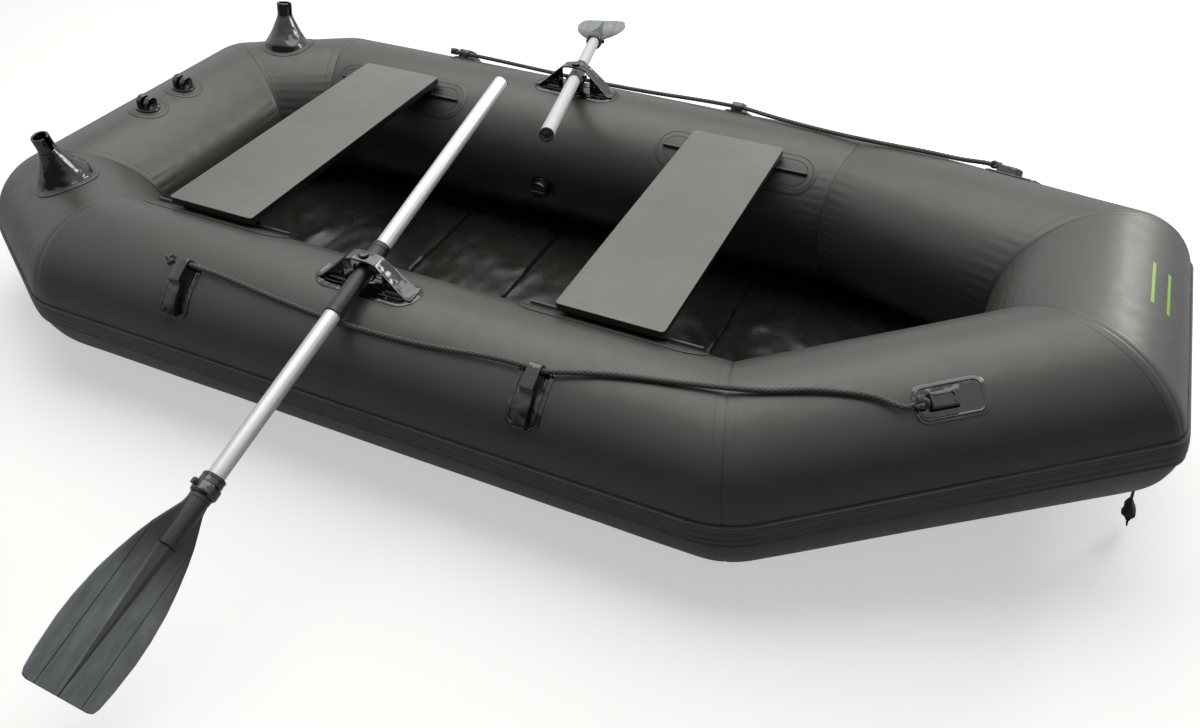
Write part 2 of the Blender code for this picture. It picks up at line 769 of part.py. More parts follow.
def pin_cap_shape():
    """The cap over the arch, which the swivel pin ends in."""
    base = ARCH_RISE + ARCH_THICKNESS + SEAM_GAP
    top = base + CAP_HEIGHT
    recess = ARCH_RISE + ARCH_THICKNESS + CAP_HEIGHT / 2 + SEAM_GAP
    return turned(
        (
            (0, recess),
            (PIN_BORE, recess),
            (PIN_BORE, base),
            (CAP_RADIUS, base),
            (CAP_RADIUS, top - CAP_CROWN),
            (CAP_RADIUS - CAP_CROWN, top),
            (0, top),
        )
    )


def sleeve_shape():
    """The sleeve round the shaft, with a riveted trunnion on each side."""
    bore = SHAFT_RADIUS + RUNNING_GAP
    tube = turned_ring(
        (
            (bore, -SLEEVE_INBOARD),
            (SLEEVE_RADIUS, -SLEEVE_INBOARD),
            (SLEEVE_RADIUS, SLEEVE_OUTBOARD),
            (bore, SLEEVE_OUTBOARD),
        )
    )
    moved(tube, Matrix.Rotation(math.pi / 2, 4, "Y"))
    outer = YOKE_BORE + YOKE_THICKNESS + SEAM_GAP
    root = (bore + SLEEVE_RADIUS) / 2
    for way in (1, -1):
        stub = turned(
            (
                (0, root),
                (TRUNNION_RADIUS, root),
                (TRUNNION_RADIUS, outer),
                (RIVET_RADIUS, outer),
                (RIVET_RADIUS, outer + RIVET_HEIGHT / 2),
                (TRUNNION_RADIUS, outer + RIVET_HEIGHT),
                (0, outer + RIVET_HEIGHT),
            ),
            ROUND_SIDES // 2,
        )
        tube = joined(tube, moved(stub, Matrix.Rotation(-way * math.pi / 2, 4, "X")))
    return tube


def along_shaft(shape):
    """Turns a solid made about Z so that its Z lies along the shaft, outboard."""
    return moved(shape, Matrix.Rotation(math.pi / 2, 4, "Y"))


def shaft_shape():
    """The oar's aluminium tube, open at both ends."""
    bore = SHAFT_RADIUS - SHAFT_WALL
    handle = -HANDLE_REACH + END_CAP_FLANGE + SEAM_GAP
    return along_shaft(
        turned_ring(((bore, handle), (SHAFT_RADIUS, handle), (SHAFT_RADIUS, SHAFT_REACH), (bore, SHAFT_REACH)))
    )


def end_cap_shape():
    """The plug in the handle end, with a flange over the tube's rim."""
    plug = SHAFT_RADIUS - SHAFT_WALL - RUNNING_GAP
    return along_shaft(
        turned(
            (
                (0, -HANDLE_REACH),
                (SHAFT_RADIUS - END_CAP_ROUNDING, -HANDLE_REACH),
                (SHAFT_RADIUS, -HANDLE_REACH + END_CAP_ROUNDING),
                (SHAFT_RADIUS, -HANDLE_REACH + END_CAP_FLANGE),
                (plug, -HANDLE_REACH + END_CAP_FLANGE),
                (plug, -HANDLE_REACH + END_CAP_LENGTH),
                (0, -HANDLE_REACH + END_CAP_LENGTH),
            )
        )
    )


def collar_shape():
    """The locking collar where the shaft enters the blade, with its button lug."""
    bore = SHAFT_RADIUS + RUNNING_GAP
    end = COLLAR_FROM + COLLAR_LENGTH - SEAM_GAP
    swell = COLLAR_FROM + COLLAR_LENGTH / 2
    ring = along_shaft(
        turned_ring(
            (
                (bore, COLLAR_FROM),
                (COLLAR_RADIUS, COLLAR_FROM),
                (COLLAR_RADIUS, swell - END_CAP_FLANGE),
                (COLLAR_SWELL, swell),
                (COLLAR_SWELL, end - END_CAP_FLANGE),
                (COLLAR_RADIUS, end),
                (bore, end),
            )
        )
    )
    outline = rounded_rectangle(COLLAR_LUG_WIDTH, COLLAR_LUG_WIDTH, END_CAP_ROUNDING)
    root = COLLAR_RADIUS - END_CAP_ROUNDING
    lug = extruded(outline, COLLAR_LUG_REACH - root, root)
    moved(lug, Matrix.Rotation(math.pi / 2, 4, "X"))
    moved(lug, Matrix.Translation((swell + COLLAR_LUG_WIDTH / 2, 0, 0)))
    return joined(ring, lug)


def blade_outline():
    """The blade's edge in X and Y, from the root to the tip and back."""
    length = BLADE_TIP - BLADE_ROOT
    right = [(BLADE_ROOT + length * along, BLADE_HALF_WIDTH * across) for along, across in BLADE_SHARES]
    left = [(x, -y) for x, y in reversed(right)]
    return right + left


def blade_shape():
    """The blade: a flat plate, the socket that takes the shaft and a keel on each face."""
    plate = extruded(blade_outline(), BLADE_THICKNESS, -BLADE_THICKNESS / 2)
    taper = SOCKET_END - SOCKET_RADIUS / 2
    socket = along_shaft(
        turned(
            (
                (0, BLADE_ROOT),
                (SOCKET_RADIUS, BLADE_ROOT),
                (SOCKET_RADIUS, taper),
                (SOCKET_RADIUS * 3 / 4, SOCKET_END),
                (0, SOCKET_END),
            )
        )
    )
    keel = extruded(
        [
            (taper, -KEEL_HEIGHT),
            (KEEL_END - SOCKET_RADIUS, -BLADE_THICKNESS),
            (KEEL_END, 0),
            (KEEL_END - SOCKET_RADIUS, BLADE_THICKNESS),
            (taper, KEEL_HEIGHT),
        ],
        KEEL_THICKNESS,
        -KEEL_THICKNESS / 2,
    )
    moved(keel, Matrix.Rotation(math.pi / 2, 4, "X"))
    bore_end = SHAFT_REACH + SEAM_GAP
    bore = along_shaft(
        extruded(circle(SHAFT_RADIUS + RUNNING_GAP), bore_end - BLADE_ROOT + CUT_OVERRUN, BLADE_ROOT - CUT_OVERRUN)
    )
    return trimmed(joined(plate, socket, keel), bore)


def build_oar(side_name, side, pose, materials):
    """One oar with its swivel, hung from empties on its three joint axes."""
    swing, dip, roll = pose
    heading = math.atan2(side * math.cos(swing), -math.sin(swing))
    stand = Matrix.Translation((LOCK_X, side * SIDE_HALF_WIDTH, LOCK_PIVOT_Z))
    swivel = make_empty(f"{side_name}_oar_sweep", stand @ Matrix.Rotation(heading, 4, "Z"))
    cradle = make_empty(f"{side_name}_oar_dip", Matrix.Rotation(dip, 4, "Y"), swivel)
    loom = make_empty(f"{side_name}_oar_feather", Matrix.Rotation(roll, 4, "X"), cradle)
    make_object(f"{side_name}_swivel_yoke", yoke_shape(), materials["fitting"], parent=swivel)
    make_object(f"{side_name}_swivel_pin_cap", pin_cap_shape(), materials["fitting"], parent=swivel)
    make_object(f"{side_name}_oar_sleeve", sleeve_shape(), materials["sleeve"], parent=cradle)
    make_object(f"{side_name}_oar_shaft", shaft_shape(), materials["aluminium"], parent=loom)
    make_object(f"{side_name}_oar_end_cap", end_cap_shape(), materials["fitting"], parent=loom)
    make_object(f"{side_name}_oar_collar", collar_shape(), materials["fitting"], parent=loom)
    make_object(f"{side_name}_oar_blade", blade_shape(), materials["blade"], parent=loom)


def holder_shape():
    """The rod holder about its own axis: a flared cone, a collar and a blind bore."""
    flare = HOLDER_BASE_RADIUS - HOLDER_WAIST_RADIUS
    neck = HOLDER_HEIGHT - HOLDER_COLLAR
    profile = [(0, -HOLDER_SKIRT), (HOLDER_BASE_RADIUS, -HOLDER_SKIRT), (HOLDER_BASE_RADIUS, 0)]
    for up_share, out_share in HOLDER_FLARE_SHARES:
        profile.append((HOLDER_WAIST_RADIUS + flare * out_share, neck * up_share))
    profile += [
        (HOLDER_WAIST_RADIUS, neck),
        (HOLDER_TOP_RADIUS, neck + HOLDER_RIM),
        (HOLDER_TOP_RADIUS, HOLDER_HEIGHT),
        (HOLDER_BORE, HOLDER_HEIGHT),
        (HOLDER_BORE, HOLDER_HEIGHT - HOLDER_DEPTH),
        (0, HOLDER_HEIGHT - HOLDER_DEPTH),
    ]
    slot_outline = rounded_rectangle(2 * HOLDER_SLOT, HOLDER_TOP_RADIUS + CUT_OVERRUN, HOLDER_SLOT / 2)
    slot = extruded(slot_outline, HOLDER_COLLAR, HOLDER_HEIGHT - HOLDER_COLLAR + HOLDER_RIM)
    moved(slot, Matrix.Translation((0, HOLDER_TOP_RADIUS, 0)))
    return trimmed(turned(profile), slot)


def build_rod_holder(side_name, side, tube, materials):
    """A rod holder whose foot is cut to the round of the quarter tube, on a welded patch."""
    length = (tube.corners[1] - tube.corners[0]).length
    share = 1 - HOLDER_SHARE if side == PORT else HOLDER_SHARE
    distance = length * share
    patch = tube.wrapped(extruded(circle(HOLDER_PATCH_RADIUS), HOLDER_PATCH_THICKNESS), distance, HOLDER_ANGLE)
    make_object(f"{side_name}_rod_holder_patch", patch, materials["patch"])
    foot = 2 * SEAM_GAP + HOLDER_PATCH_THICKNESS
    here = tube.wall_point(distance, HOLDER_ANGLE, foot)
    outward = Vector((0, side, 0))
    axis = math.cos(HOLDER_LEAN) * UP + math.sin(HOLDER_LEAN) * outward
    sweep = 2 * HOLDER_PATCH_RADIUS
    cutter = extruded(circle(TUBE_RADIUS + foot, 2 * TUBE_SIDES), sweep, -sweep / 2)
    middle = tube.corners[0] + tube.along * distance
    moved(cutter, Matrix.Translation(middle) @ spun_to(tube.along))
    body = moved(holder_shape(), Matrix.Translation(here) @ spun_to(axis, Vector((1, 0, 0))))
    make_object(f"{side_name}_rod_holder", trimmed(body, cutter), materials["fitting"])


def ear_outline():
    """One ear of a stern socket, seen along the boat."""
    top = EAR_HEIGHT
    half = EAR_WIDTH / 2
    return [
        (-half, EAR_SINK),
        (half, EAR_SINK),
        (half, top - EAR_CHAMFER),
        (half - EAR_CHAMFER, top),
        (-half + EAR_CHAMFER, top),
        (-half, top - EAR_CHAMFER),
    ]


def build_stern_socket(side_name, side, tube, materials):
    """A pair of bored ears on a round base, welded to the crown of the stern tube."""
    distance = side * SOCKET_Y - tube.corners[0].y
    angle = math.asin((STERN_X - SOCKET_X) / TUBE_RADIUS)
    patch = tube.wrapped(extruded(circle(SOCKET_PATCH_RADIUS), SOCKET_PATCH_THICKNESS), distance, angle)
    make_object(f"{side_name}_stern_socket_patch", patch, materials["patch"])
    foot = SOCKET_PATCH_THICKNESS + SEAM_GAP
    disc = extruded(circle(SOCKET_DISC_RADIUS), SOCKET_DISC_THICKNESS, foot)
    body = tube.wrapped(disc, distance, angle)
    spot = tube.spot(distance, angle, SEAM_GAP + foot)
    upright = Matrix(((1, 0, 0), (0, 0, 1), (0, 1, 0))).to_4x4()
    reach = EAR_GAP / 2 + EAR_THICKNESS + CUT_OVERRUN
    for way in (1, -1):
        start = way * (EAR_GAP + EAR_THICKNESS) / 2 - EAR_THICKNESS / 2
        ear = moved(extruded(ear_outline(), EAR_THICKNESS, start), spot @ upright)
        body = joined(body, ear)
    bore = moved(extruded(circle(EAR_BORE, ROUND_SIDES // 2), 2 * reach, -reach), Matrix.Rotation(math.pi / 2, 4, "X"))
    moved(bore, spot @ Matrix.Translation((0, 0, EAR_BORE_HEIGHT)))
    make_object(f"{side_name}_stern_socket", trimmed(body, bore), materials["fitting"])


def block_outline():
    """A cleat block in girth and height: a tall step and a low step."""
    half = BLOCK_LENGTH / 2
    step = half - BLOCK_LENGTH * BLOCK_STEP_SHARE
    return [
        (-half, BLOCK_SINK),
        (half, BLOCK_SINK),
        (half - BLOCK_SLOPE, BLOCK_HEIGHT),
        (step, BLOCK_HEIGHT),
        (step - BLOCK_SLOPE, BLOCK_STEP),
        (-half + BLOCK_SLOPE, BLOCK_STEP),
    ]


def cleat_shape():
    """A flat cleat: a plate and a stepped block with a rope hole under its tall end."""
    plate = extruded(rounded_rectangle(CLEAT_WIDTH, CLEAT_LENGTH, CLEAT_CORNER), CLEAT_THICKNESS)
    across = Matrix(((0, 0, 1), (1, 0, 0), (0, 1, 0))).to_4x4()
    block = moved(extruded(block_outline(), BLOCK_WIDTH, -BLOCK_WIDTH / 2), across)
    reach = BLOCK_WIDTH / 2 + CUT_OVERRUN
    hole = moved(extruded(circle(ROPE_HOLE, ROUND_SIDES // 2), 2 * reach, -reach), across)
    moved(hole, Matrix.Translation((0, BLOCK_LENGTH / 2 - ROPE_HOLE_INSET, ROPE_HOLE_HEIGHT)))
    return trimmed(joined(plate, block), hole)


def build_cleats(side_name, side, tubes, materials):
    """Two cleats on the side tube across the girth, one on the bow side tube along it."""
    side_tube = tubes[f"{side_name}_side_tube"]
    for index, x in enumerate(CLEAT_X):
        distance = abs(x - side_tube.corners[0].x)
        shape = side_tube.wrapped(cleat_shape(), distance, CLEAT_ANGLE, math.pi)
        make_object(f"{side_name}_rope_cleat_{index + 1}", shape, materials["fitting"])
    bow_tube = tubes[f"{side_name}_bow_side_tube"]
    distance = bow_cleat_distance(bow_tube, side)
    shape = bow_tube.wrapped(cleat_shape(), distance, BOW_CLEAT_ANGLE, side * math.pi / 2)
    make_object(f"{side_name}_rope_cleat_{len(CLEAT_X) + 1}", shape, materials["fitting"])


def bow_cleat_distance(tube, side):
    """How far the bow cleat lies from the first corner of its tube."""
    share = BOW_CLEAT_SHARE if side == PORT else 1 - BOW_CLEAT_SHARE
    return (tube.corners[1] - tube.corners[0]).length * share


def smooth_curve(points, step):
    """Points a step apart along a smooth curve through the given ones."""
    whole = [points[0] * 2 - points[1], *points, points[-1] * 2 - points[-2]]
    curve = []
    for before, start, end, after in zip(whole, whole[1:], whole[2:], whole[3:]):
        count = max(1, round((end - start).length / step))
        for index in range(count):
            t = index / count
            leave = (end - before) / 2
            reach = (after - start) / 2
            a = 2 * start - 2 * end + leave + reach
            b = -3 * start + 3 * end - 2 * leave - reach
            curve.append(((a * t + b) * t + leave) * t + start)
    curve.append(points[-1])
    return curve


def rope_object(name, points, material):
    """A round rope along the points, with flat closed ends."""
    curve = bpy.data.curves.new(name, "CURVE")
    curve.dimensions = "3D"
    curve.bevel_depth = ROPE_RADIUS
    curve.bevel_resolution = 2
    curve.use_fill_caps = True
    spline = curve.splines.new("POLY")
    spline.points.add(len(points) - 1)
    for target, point in zip(spline.points, points):
        target.co = (*point, 1)
    made = bpy.data.objects.new(name, curve)
    bpy.context.scene.collection.objects.link(made)
    made.data.materials.append(material)
    return made


def rope_points(side_name, side, tubes):
    """The grab rope's way through both side cleats to the bow cleat."""
    tube = tubes[f"{side_name}_side_tube"]
    hole_angle = CLEAT_ANGLE - (BLOCK_LENGTH / 2 - ROPE_HOLE_INSET) / TUBE_RADIUS
    hole_height = SEAM_GAP + ROPE_HOLE_HEIGHT

    def on_side(x, angle, height):
        return tube.wall_point(abs(x - tube.corners[0].x), angle, height)

    half = BLOCK_WIDTH / 2
    first, second = CLEAT_X
    points = [on_side(first - half - ROPE_TAIL, hole_angle, hole_height)]
    points += [on_side(first + way * half, hole_angle, hole_height) for way in (-1, 1)]
    lying = ROPE_RADIUS + SEAM_GAP + ROPE_LIFT
    for along, sag in ROPE_ROUTE_SHARES:
        x = first + half + (second - first - BLOCK_WIDTH) * along
        height = hole_height + (lying - hole_height) * sag
        points.append(on_side(x, hole_angle + sag * ROPE_SAG / TUBE_RADIUS, height))
    points += [on_side(second + way * half, hole_angle, hole_height) for way in (-1, 1)]
    return points


def build_ropes(tubes, materials):
    """A grab rope on each side of the hull."""
    for side_name, side in SIDES:
        points = rope_points(side_name, side, tubes)
        bow_tube = tubes[f"{side_name}_bow_side_tube"]
        side_tube = tubes[f"{side_name}_side_tube"]
        lying = ROPE_RADIUS + SEAM_GAP + ROPE_LIFT
        for x, degrees in ROPE_ROUTE:
            angle = math.radians(degrees)
            tube = side_tube if x < KINK_X else bow_tube
            start = tube.corners[0] if side == PORT else tube.corners[1]
            distance = (x - start.x) / abs(tube.along.x)
            if side == STARBOARD:
                distance = (tube.corners[1] - tube.corners[0]).length - distance
            points.append(tube.wall_point(distance, angle, lying))
        face = BLOCK_LENGTH / 2 + SEAM_GAP
        for aft in (face + ROPE_LEAD, face):
            distance = bow_cleat_distance(bow_tube, side) - side * aft
            points.append(bow_tube.wall_point(distance, BOW_CLEAT_ANGLE, SEAM_GAP + ROPE_HOLE_HEIGHT))
        rope_object(f"{side_name}_grab_rope", smooth_curve(points, ROPE_STEP), materials["rope"])


def build_valve(tube, materials):
    """The inflation valve: a welded flange with its body, and the cap that turns on it."""
    distance = abs(VALVE_X - tube.corners[0].x)
    flange = tube.wrapped(extruded(circle(VALVE_FLANGE_RADIUS), VALVE_FLANGE_THICKNESS), distance, VALVE_ANGLE)
    spot = tube.spot(distance, VALVE_ANGLE, SEAM_GAP)
    body = extruded(circle(VALVE_BODY_RADIUS), VALVE_BODY_HEIGHT - VALVE_SINK, VALVE_SINK)
    make_object("valve_body", joined(flange, moved(body, spot)), materials["fitting"])
    carrier = make_empty("valve_cap_turn", spot @ Matrix.Translation((0, 0, VALVE_BODY_HEIGHT + SEAM_GAP)))
    disc = turned(
        (
            (0, 0),
            (VALVE_CAP_RADIUS, 0),
            (VALVE_CAP_RADIUS, VALVE_CAP_HEIGHT - VALVE_CAP_ROUNDING),
            (VALVE_CAP_RADIUS - VALVE_CAP_ROUNDING, VALVE_CAP_HEIGHT),
            (0, VALVE_CAP_HEIGHT),
        )
    )
    length = 2 * (VALVE_CAP_RADIUS - 2 * VALVE_CAP_ROUNDING)
    outline = rounded_rectangle(length, VALVE_GRIP_WIDTH, VALVE_CAP_ROUNDING)
    grip = extruded(outline, VALVE_GRIP_HEIGHT + VALVE_CAP_ROUNDING, VALVE_CAP_HEIGHT - VALVE_CAP_ROUNDING)
    make_object("valve_cap", joined(disc, grip), materials["fitting"], parent=carrier)


def build_tow(tube, materials):
    """The tow patch low on the bow and the strap that hangs from it, knotted at its end."""
    distance = TOW_Y + tube.corners[0].y
    outline = rounded_rectangle(TOW_PATCH_WIDTH, TOW_PATCH_LENGTH, TOW_PATCH_CORNER)
    patch = tube.wrapped(extruded(outline, TOW_PATCH_THICKNESS), distance, TOW_ANGLE)
    spot = tube.spot(distance, TOW_ANGLE, SEAM_GAP)
    keeper = extruded(
        rounded_rectangle(KEEPER_WIDTH, KEEPER_LENGTH, TOW_PATCH_THICKNESS),
        KEEPER_HEIGHT - TOW_PATCH_THICKNESS / 2,
        TOW_PATCH_THICKNESS / 2,
    )
    make_object("tow_patch", joined(patch, moved(keeper, spot)), materials["patch"])
    lower = spot @ Vector((0, KEEPER_LENGTH / 2 + SEAM_GAP, KEEPER_HEIGHT / 2))
    outward = spot.to_3x3() @ UP
    tilt = math.atan2(-outward.z, outward.x)
    rings = []
    for drop, width_share, thickness_share in STRAP_SHARES:
        half_width = STRAP_WIDTH * width_share / 2
        half_thickness = STRAP_THICKNESS * thickness_share / 2
        middle = lower + Vector((STRAP_FORWARD * drop * drop, 0, -STRAP_DROP * drop))
        lean = tilt * max(0, 1 - drop / STRAP_TURN_SHARE)
        across = Vector((math.cos(lean), 0, -math.sin(lean)))
        ring = []
        for x, y in rounded_rectangle(2 * half_thickness, 2 * half_width, half_thickness * 3 / 4, 2):
            ring.append(middle + x * across + Vector((0, y, 0)))
        rings.append(ring)
    make_object("tow_strap", lofted(rings), materials["webbing"])


def make_materials():
    """Every finish of the boat."""
    return {
        "hull": make_material("hull_vinyl", (0.055, 0.056, 0.050), 0.42),
        "strake": make_material("strake_rubber", (0.030, 0.031, 0.030), 0.55),
        "floor": make_material("floor_vinyl", (0.018, 0.018, 0.018), 0.35),
        "patch": make_material("welded_patch", (0.050, 0.051, 0.046), 0.45),
        "seat": make_material("seat_board", (0.110, 0.108, 0.100), 0.55),
        "track": make_material("seat_track_plastic", (0.012, 0.012, 0.012), 0.45),
        "fitting": make_material("fitting_plastic", (0.010, 0.010, 0.011), 0.22),
        "sleeve": make_material("sleeve_plastic", (0.020, 0.020, 0.022), 0.45),
        "blade": make_material("blade_plastic", (0.040, 0.044, 0.047), 0.45),
        "aluminium": make_material("shaft_aluminium", (0.780, 0.780, 0.790), 0.35, 1.0),
        "rope": make_material("braided_rope", (0.020, 0.020, 0.019), 0.85),
        "webbing": make_material("strap_webbing", (0.012, 0.012, 0.012), 0.80),
    }


def build_boat():
    """Builds the whole boat in an empty scene."""
    clear_scene()
    materials = make_materials()
    loop = hull_loop()
    tubes = {tube.name: tube for tube in loop}
    build_tubes(loop, materials["hull"])
    build_strake(loop, materials["strake"])
    build_bottom(materials["hull"])
    build_slats(materials["floor"])
    build_seats(tubes, materials)
    poses = {
        "port": (PORT_SWING, PORT_DIP, PORT_ROLL),
        "starboard": (STARBOARD_SWING, STARBOARD_DIP, STARBOARD_ROLL),
    }
    for side_name, side in SIDES:
        build_oarlock(side_name, side, tubes[f"{side_name}_side_tube"], materials)
        build_oar(side_name, side, poses[side_name], materials)
        build_rod_holder(side_name, side, tubes[f"{side_name}_quarter_tube"], materials)
        build_stern_socket(side_name, side, tubes["stern_tube"], materials)
        build_cleats(side_name, side, tubes, materials)
    build_ropes(tubes, materials)
    build_valve(tubes["port_side_tube"], materials)
    build_tow(tubes["bow_tube"], materials)
    bpy.context.view_layer.update()


build_boat()
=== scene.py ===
"""Dresses the two-seat inflatable rowing boat: hull skins, floor, seats, rowing gear, fittings,
ropes and tow strap, with the studio and the camera.

Metres. +X points to the bow, +Y to port and +Z up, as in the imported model.
"""

import json
import logging
import math
from dataclasses import dataclass
from enum import Enum
from typing import Callable, Optional, Sequence

import bmesh
import bpy
from mathutils import Matrix, Vector, noise

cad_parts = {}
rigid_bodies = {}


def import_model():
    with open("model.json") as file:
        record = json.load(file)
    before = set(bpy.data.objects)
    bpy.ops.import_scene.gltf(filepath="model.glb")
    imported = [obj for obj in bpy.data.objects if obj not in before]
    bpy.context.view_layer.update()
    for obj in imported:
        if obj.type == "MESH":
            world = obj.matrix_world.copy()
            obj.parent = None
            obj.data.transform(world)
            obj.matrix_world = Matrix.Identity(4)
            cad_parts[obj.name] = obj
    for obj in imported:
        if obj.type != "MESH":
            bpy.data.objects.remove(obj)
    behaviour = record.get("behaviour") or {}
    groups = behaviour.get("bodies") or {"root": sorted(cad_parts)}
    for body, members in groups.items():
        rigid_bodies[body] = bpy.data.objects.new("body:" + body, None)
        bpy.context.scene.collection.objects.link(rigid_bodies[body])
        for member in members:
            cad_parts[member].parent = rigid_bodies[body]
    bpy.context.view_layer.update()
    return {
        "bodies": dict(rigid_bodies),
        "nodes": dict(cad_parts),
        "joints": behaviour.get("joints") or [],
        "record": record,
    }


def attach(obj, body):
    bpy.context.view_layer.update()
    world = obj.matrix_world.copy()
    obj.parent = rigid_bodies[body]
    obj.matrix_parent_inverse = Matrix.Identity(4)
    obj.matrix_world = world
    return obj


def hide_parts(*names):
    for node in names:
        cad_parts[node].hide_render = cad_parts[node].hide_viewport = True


LOG = logging.getLogger("boat")

Colour = tuple[float, float, float]
Socket = bpy.types.NodeSocket
Test = Callable[[object], bool]
Pairs = tuple[tuple[float, float], ...]

SEAM_GAP = 0.0003
RUNNING_GAP = 0.0002
MERGE_DISTANCE = 0.00001
LINE_WIDTH = 0.0008
LINE_DEPTH = 0.0006
UP = Vector((0, 0, 1))
ALONG_SHAFT = Matrix.Rotation(math.pi / 2, 4, "Y")
PATCH_BEND = math.radians(2.5)
FITTING_BEND = math.radians(3)
NOISE_MIDDLE = (0.3, 0.7)
WHITE = (1.0, 1.0, 1.0, 1.0)


def moved(x: float = 0.0, y: float = 0.0, z: float = 0.0) -> Matrix:
    """The matrix of a move."""
    return Matrix.Translation((x, y, z))


def turned(angle: float, axis: str) -> Matrix:
    """The matrix of a turn about an axis."""
    return Matrix.Rotation(angle, 4, axis)


def axes_of(x: Vector, y: Vector, z: Vector) -> Matrix:
    """The matrix whose axes are three vectors."""
    return Matrix((x, y, z)).transposed().to_4x4()


class Side(Enum):
    """The boat's two sides, with the sign of Y."""

    PORT = 1
    STARBOARD = -1

    @property
    def label(self) -> str:
        """The side's word in a node's name."""
        return self.name.lower()


class Part(Enum):
    """What an edit operator picks."""

    VERTS = "VERT"
    EDGES = "EDGE"
    FACES = "FACE"


# ---------------------------------------------------------------- finishes


class NodeTable:
    """A node tree, with short calls for the nodes that the finishes and the sky share."""

    def __init__(self, tree: bpy.types.NodeTree) -> None:
        """Takes the tree to work in."""
        self.tree = tree

    def add(self, kind: str, inputs: dict[object, object], **settings: object) -> bpy.types.Node:
        """Adds a node.

        Args:
            kind: The node's type name.
            inputs: Values or sockets by input name or number.
            settings: The node's own options.

        Returns:
            The new node.
        """
        node = self.tree.nodes.new(kind)
        for option, value in settings.items():
            setattr(node, option, value)
        for name, value in inputs.items():
            if isinstance(value, Socket):
                self.tree.links.new(value, node.inputs[name])
            else:
                node.inputs[name].default_value = value
        return node

    def math(self, operation: str, first: object, second: object = 0.0) -> Socket:
        """One sum of two values or sockets."""
        return self.add("ShaderNodeMath", {0: first, 1: second}, operation=operation).outputs[0]

    def ramp(self, value: Socket, low: float, high: float, to_low: float, to_high: float) -> Socket:
        """A value taken from one range to another, held at its ends."""
        values = {"Value": value, "From Min": low, "From Max": high, "To Min": to_low, "To Max": to_high}
        return self.add("ShaderNodeMapRange", values).outputs[0]

    def seen(self) -> tuple[Socket, Socket]:
        """1 for a ray from the camera, straight or through a clear piece, and 1 for a glossy one."""
        path = self.add("ShaderNodeLightPath", {}).outputs
        return self.math("MAXIMUM", path["Is Camera Ray"], path["Is Transmission Ray"]), path["Is Glossy Ray"]


class NodeBoard(NodeTable):
    """One material's nodes."""

    def __init__(self, name: str) -> None:
        """Makes the material of a name."""
        self.material = bpy.data.materials.new(name)
        self.material.use_nodes = True
        super().__init__(self.material.node_tree)
        self.shader = self.tree.nodes["Principled BSDF"]
        coordinates = self.add("ShaderNodeTexCoord", {}).outputs
        self.place, self.unwrapped = coordinates["Object"], coordinates["UV"]

    def split(self, source: Socket) -> tuple[Socket, ...]:
        """The three parts of a place or a UV."""
        return tuple(self.add("ShaderNodeSeparateXYZ", {0: source}).outputs)

    def stretched(self, source: Socket, scale: Sequence[float]) -> Socket:
        """Coordinates scaled by a factor on each axis."""
        return self.add("ShaderNodeMapping", {"Vector": source, "Scale": scale}).outputs[0]

    def noise(self, source: Socket, scale: float, detail: float = 3.0) -> Socket:
        """Soft noise from 0 to 1 at a scale in features to the metre."""
        values = {"Vector": source, "Scale": scale, "Detail": detail, "Roughness": 0.55}
        return self.add("ShaderNodeTexNoise", values).outputs["Fac"]

    def spread(self, pattern: Socket, low: float = 0.0, high: float = 1.0) -> Socket:
        """Noise, which keeps near its middle, spread over a range."""
        return self.ramp(pattern, *NOISE_MIDDLE, low, high)

    def blend(self, share: object, first: object, second: object) -> Socket:
        """A colour between two colours or sockets."""
        node = self.add("ShaderNodeMix", {"Factor": share}, data_type="RGBA")
        for socket, value in ((node.inputs[6], first), (node.inputs[7], second)):
            if isinstance(value, Socket):
                self.tree.links.new(value, socket)
            else:
                socket.default_value = (*value, 1.0)
        return node.outputs[2]

    def stripe(self, value: Socket, centre: float, half: float, soft: float) -> Socket:
        """1 inside a band about a centre, falling to 0 over a soft edge."""
        away = self.math("ABSOLUTE", self.math("SUBTRACT", value, centre))
        return self.ramp(away, half, half + soft, 1.0, 0.0)

    def relief(self, height: Socket, depth: float, below: Optional[Socket] = None) -> Socket:
        """A bump of a depth in metres, over another where one is given."""
        values: dict[object, object] = {"Height": height, "Distance": depth, "Strength": 1.0}
        if below is not None:
            values["Normal"] = below
        return self.add("ShaderNodeBump", values).outputs[0]

    def wire(self, **sockets: object) -> None:
        """Feeds the shader.

        Args:
            sockets: Values or sockets by the shader's input names, with _ for a space.
        """
        for name, value in sockets.items():
            target = self.shader.inputs[name.replace("_", " ")]
            if isinstance(value, Socket):
                self.tree.links.new(value, target)
            else:
                target.default_value = value


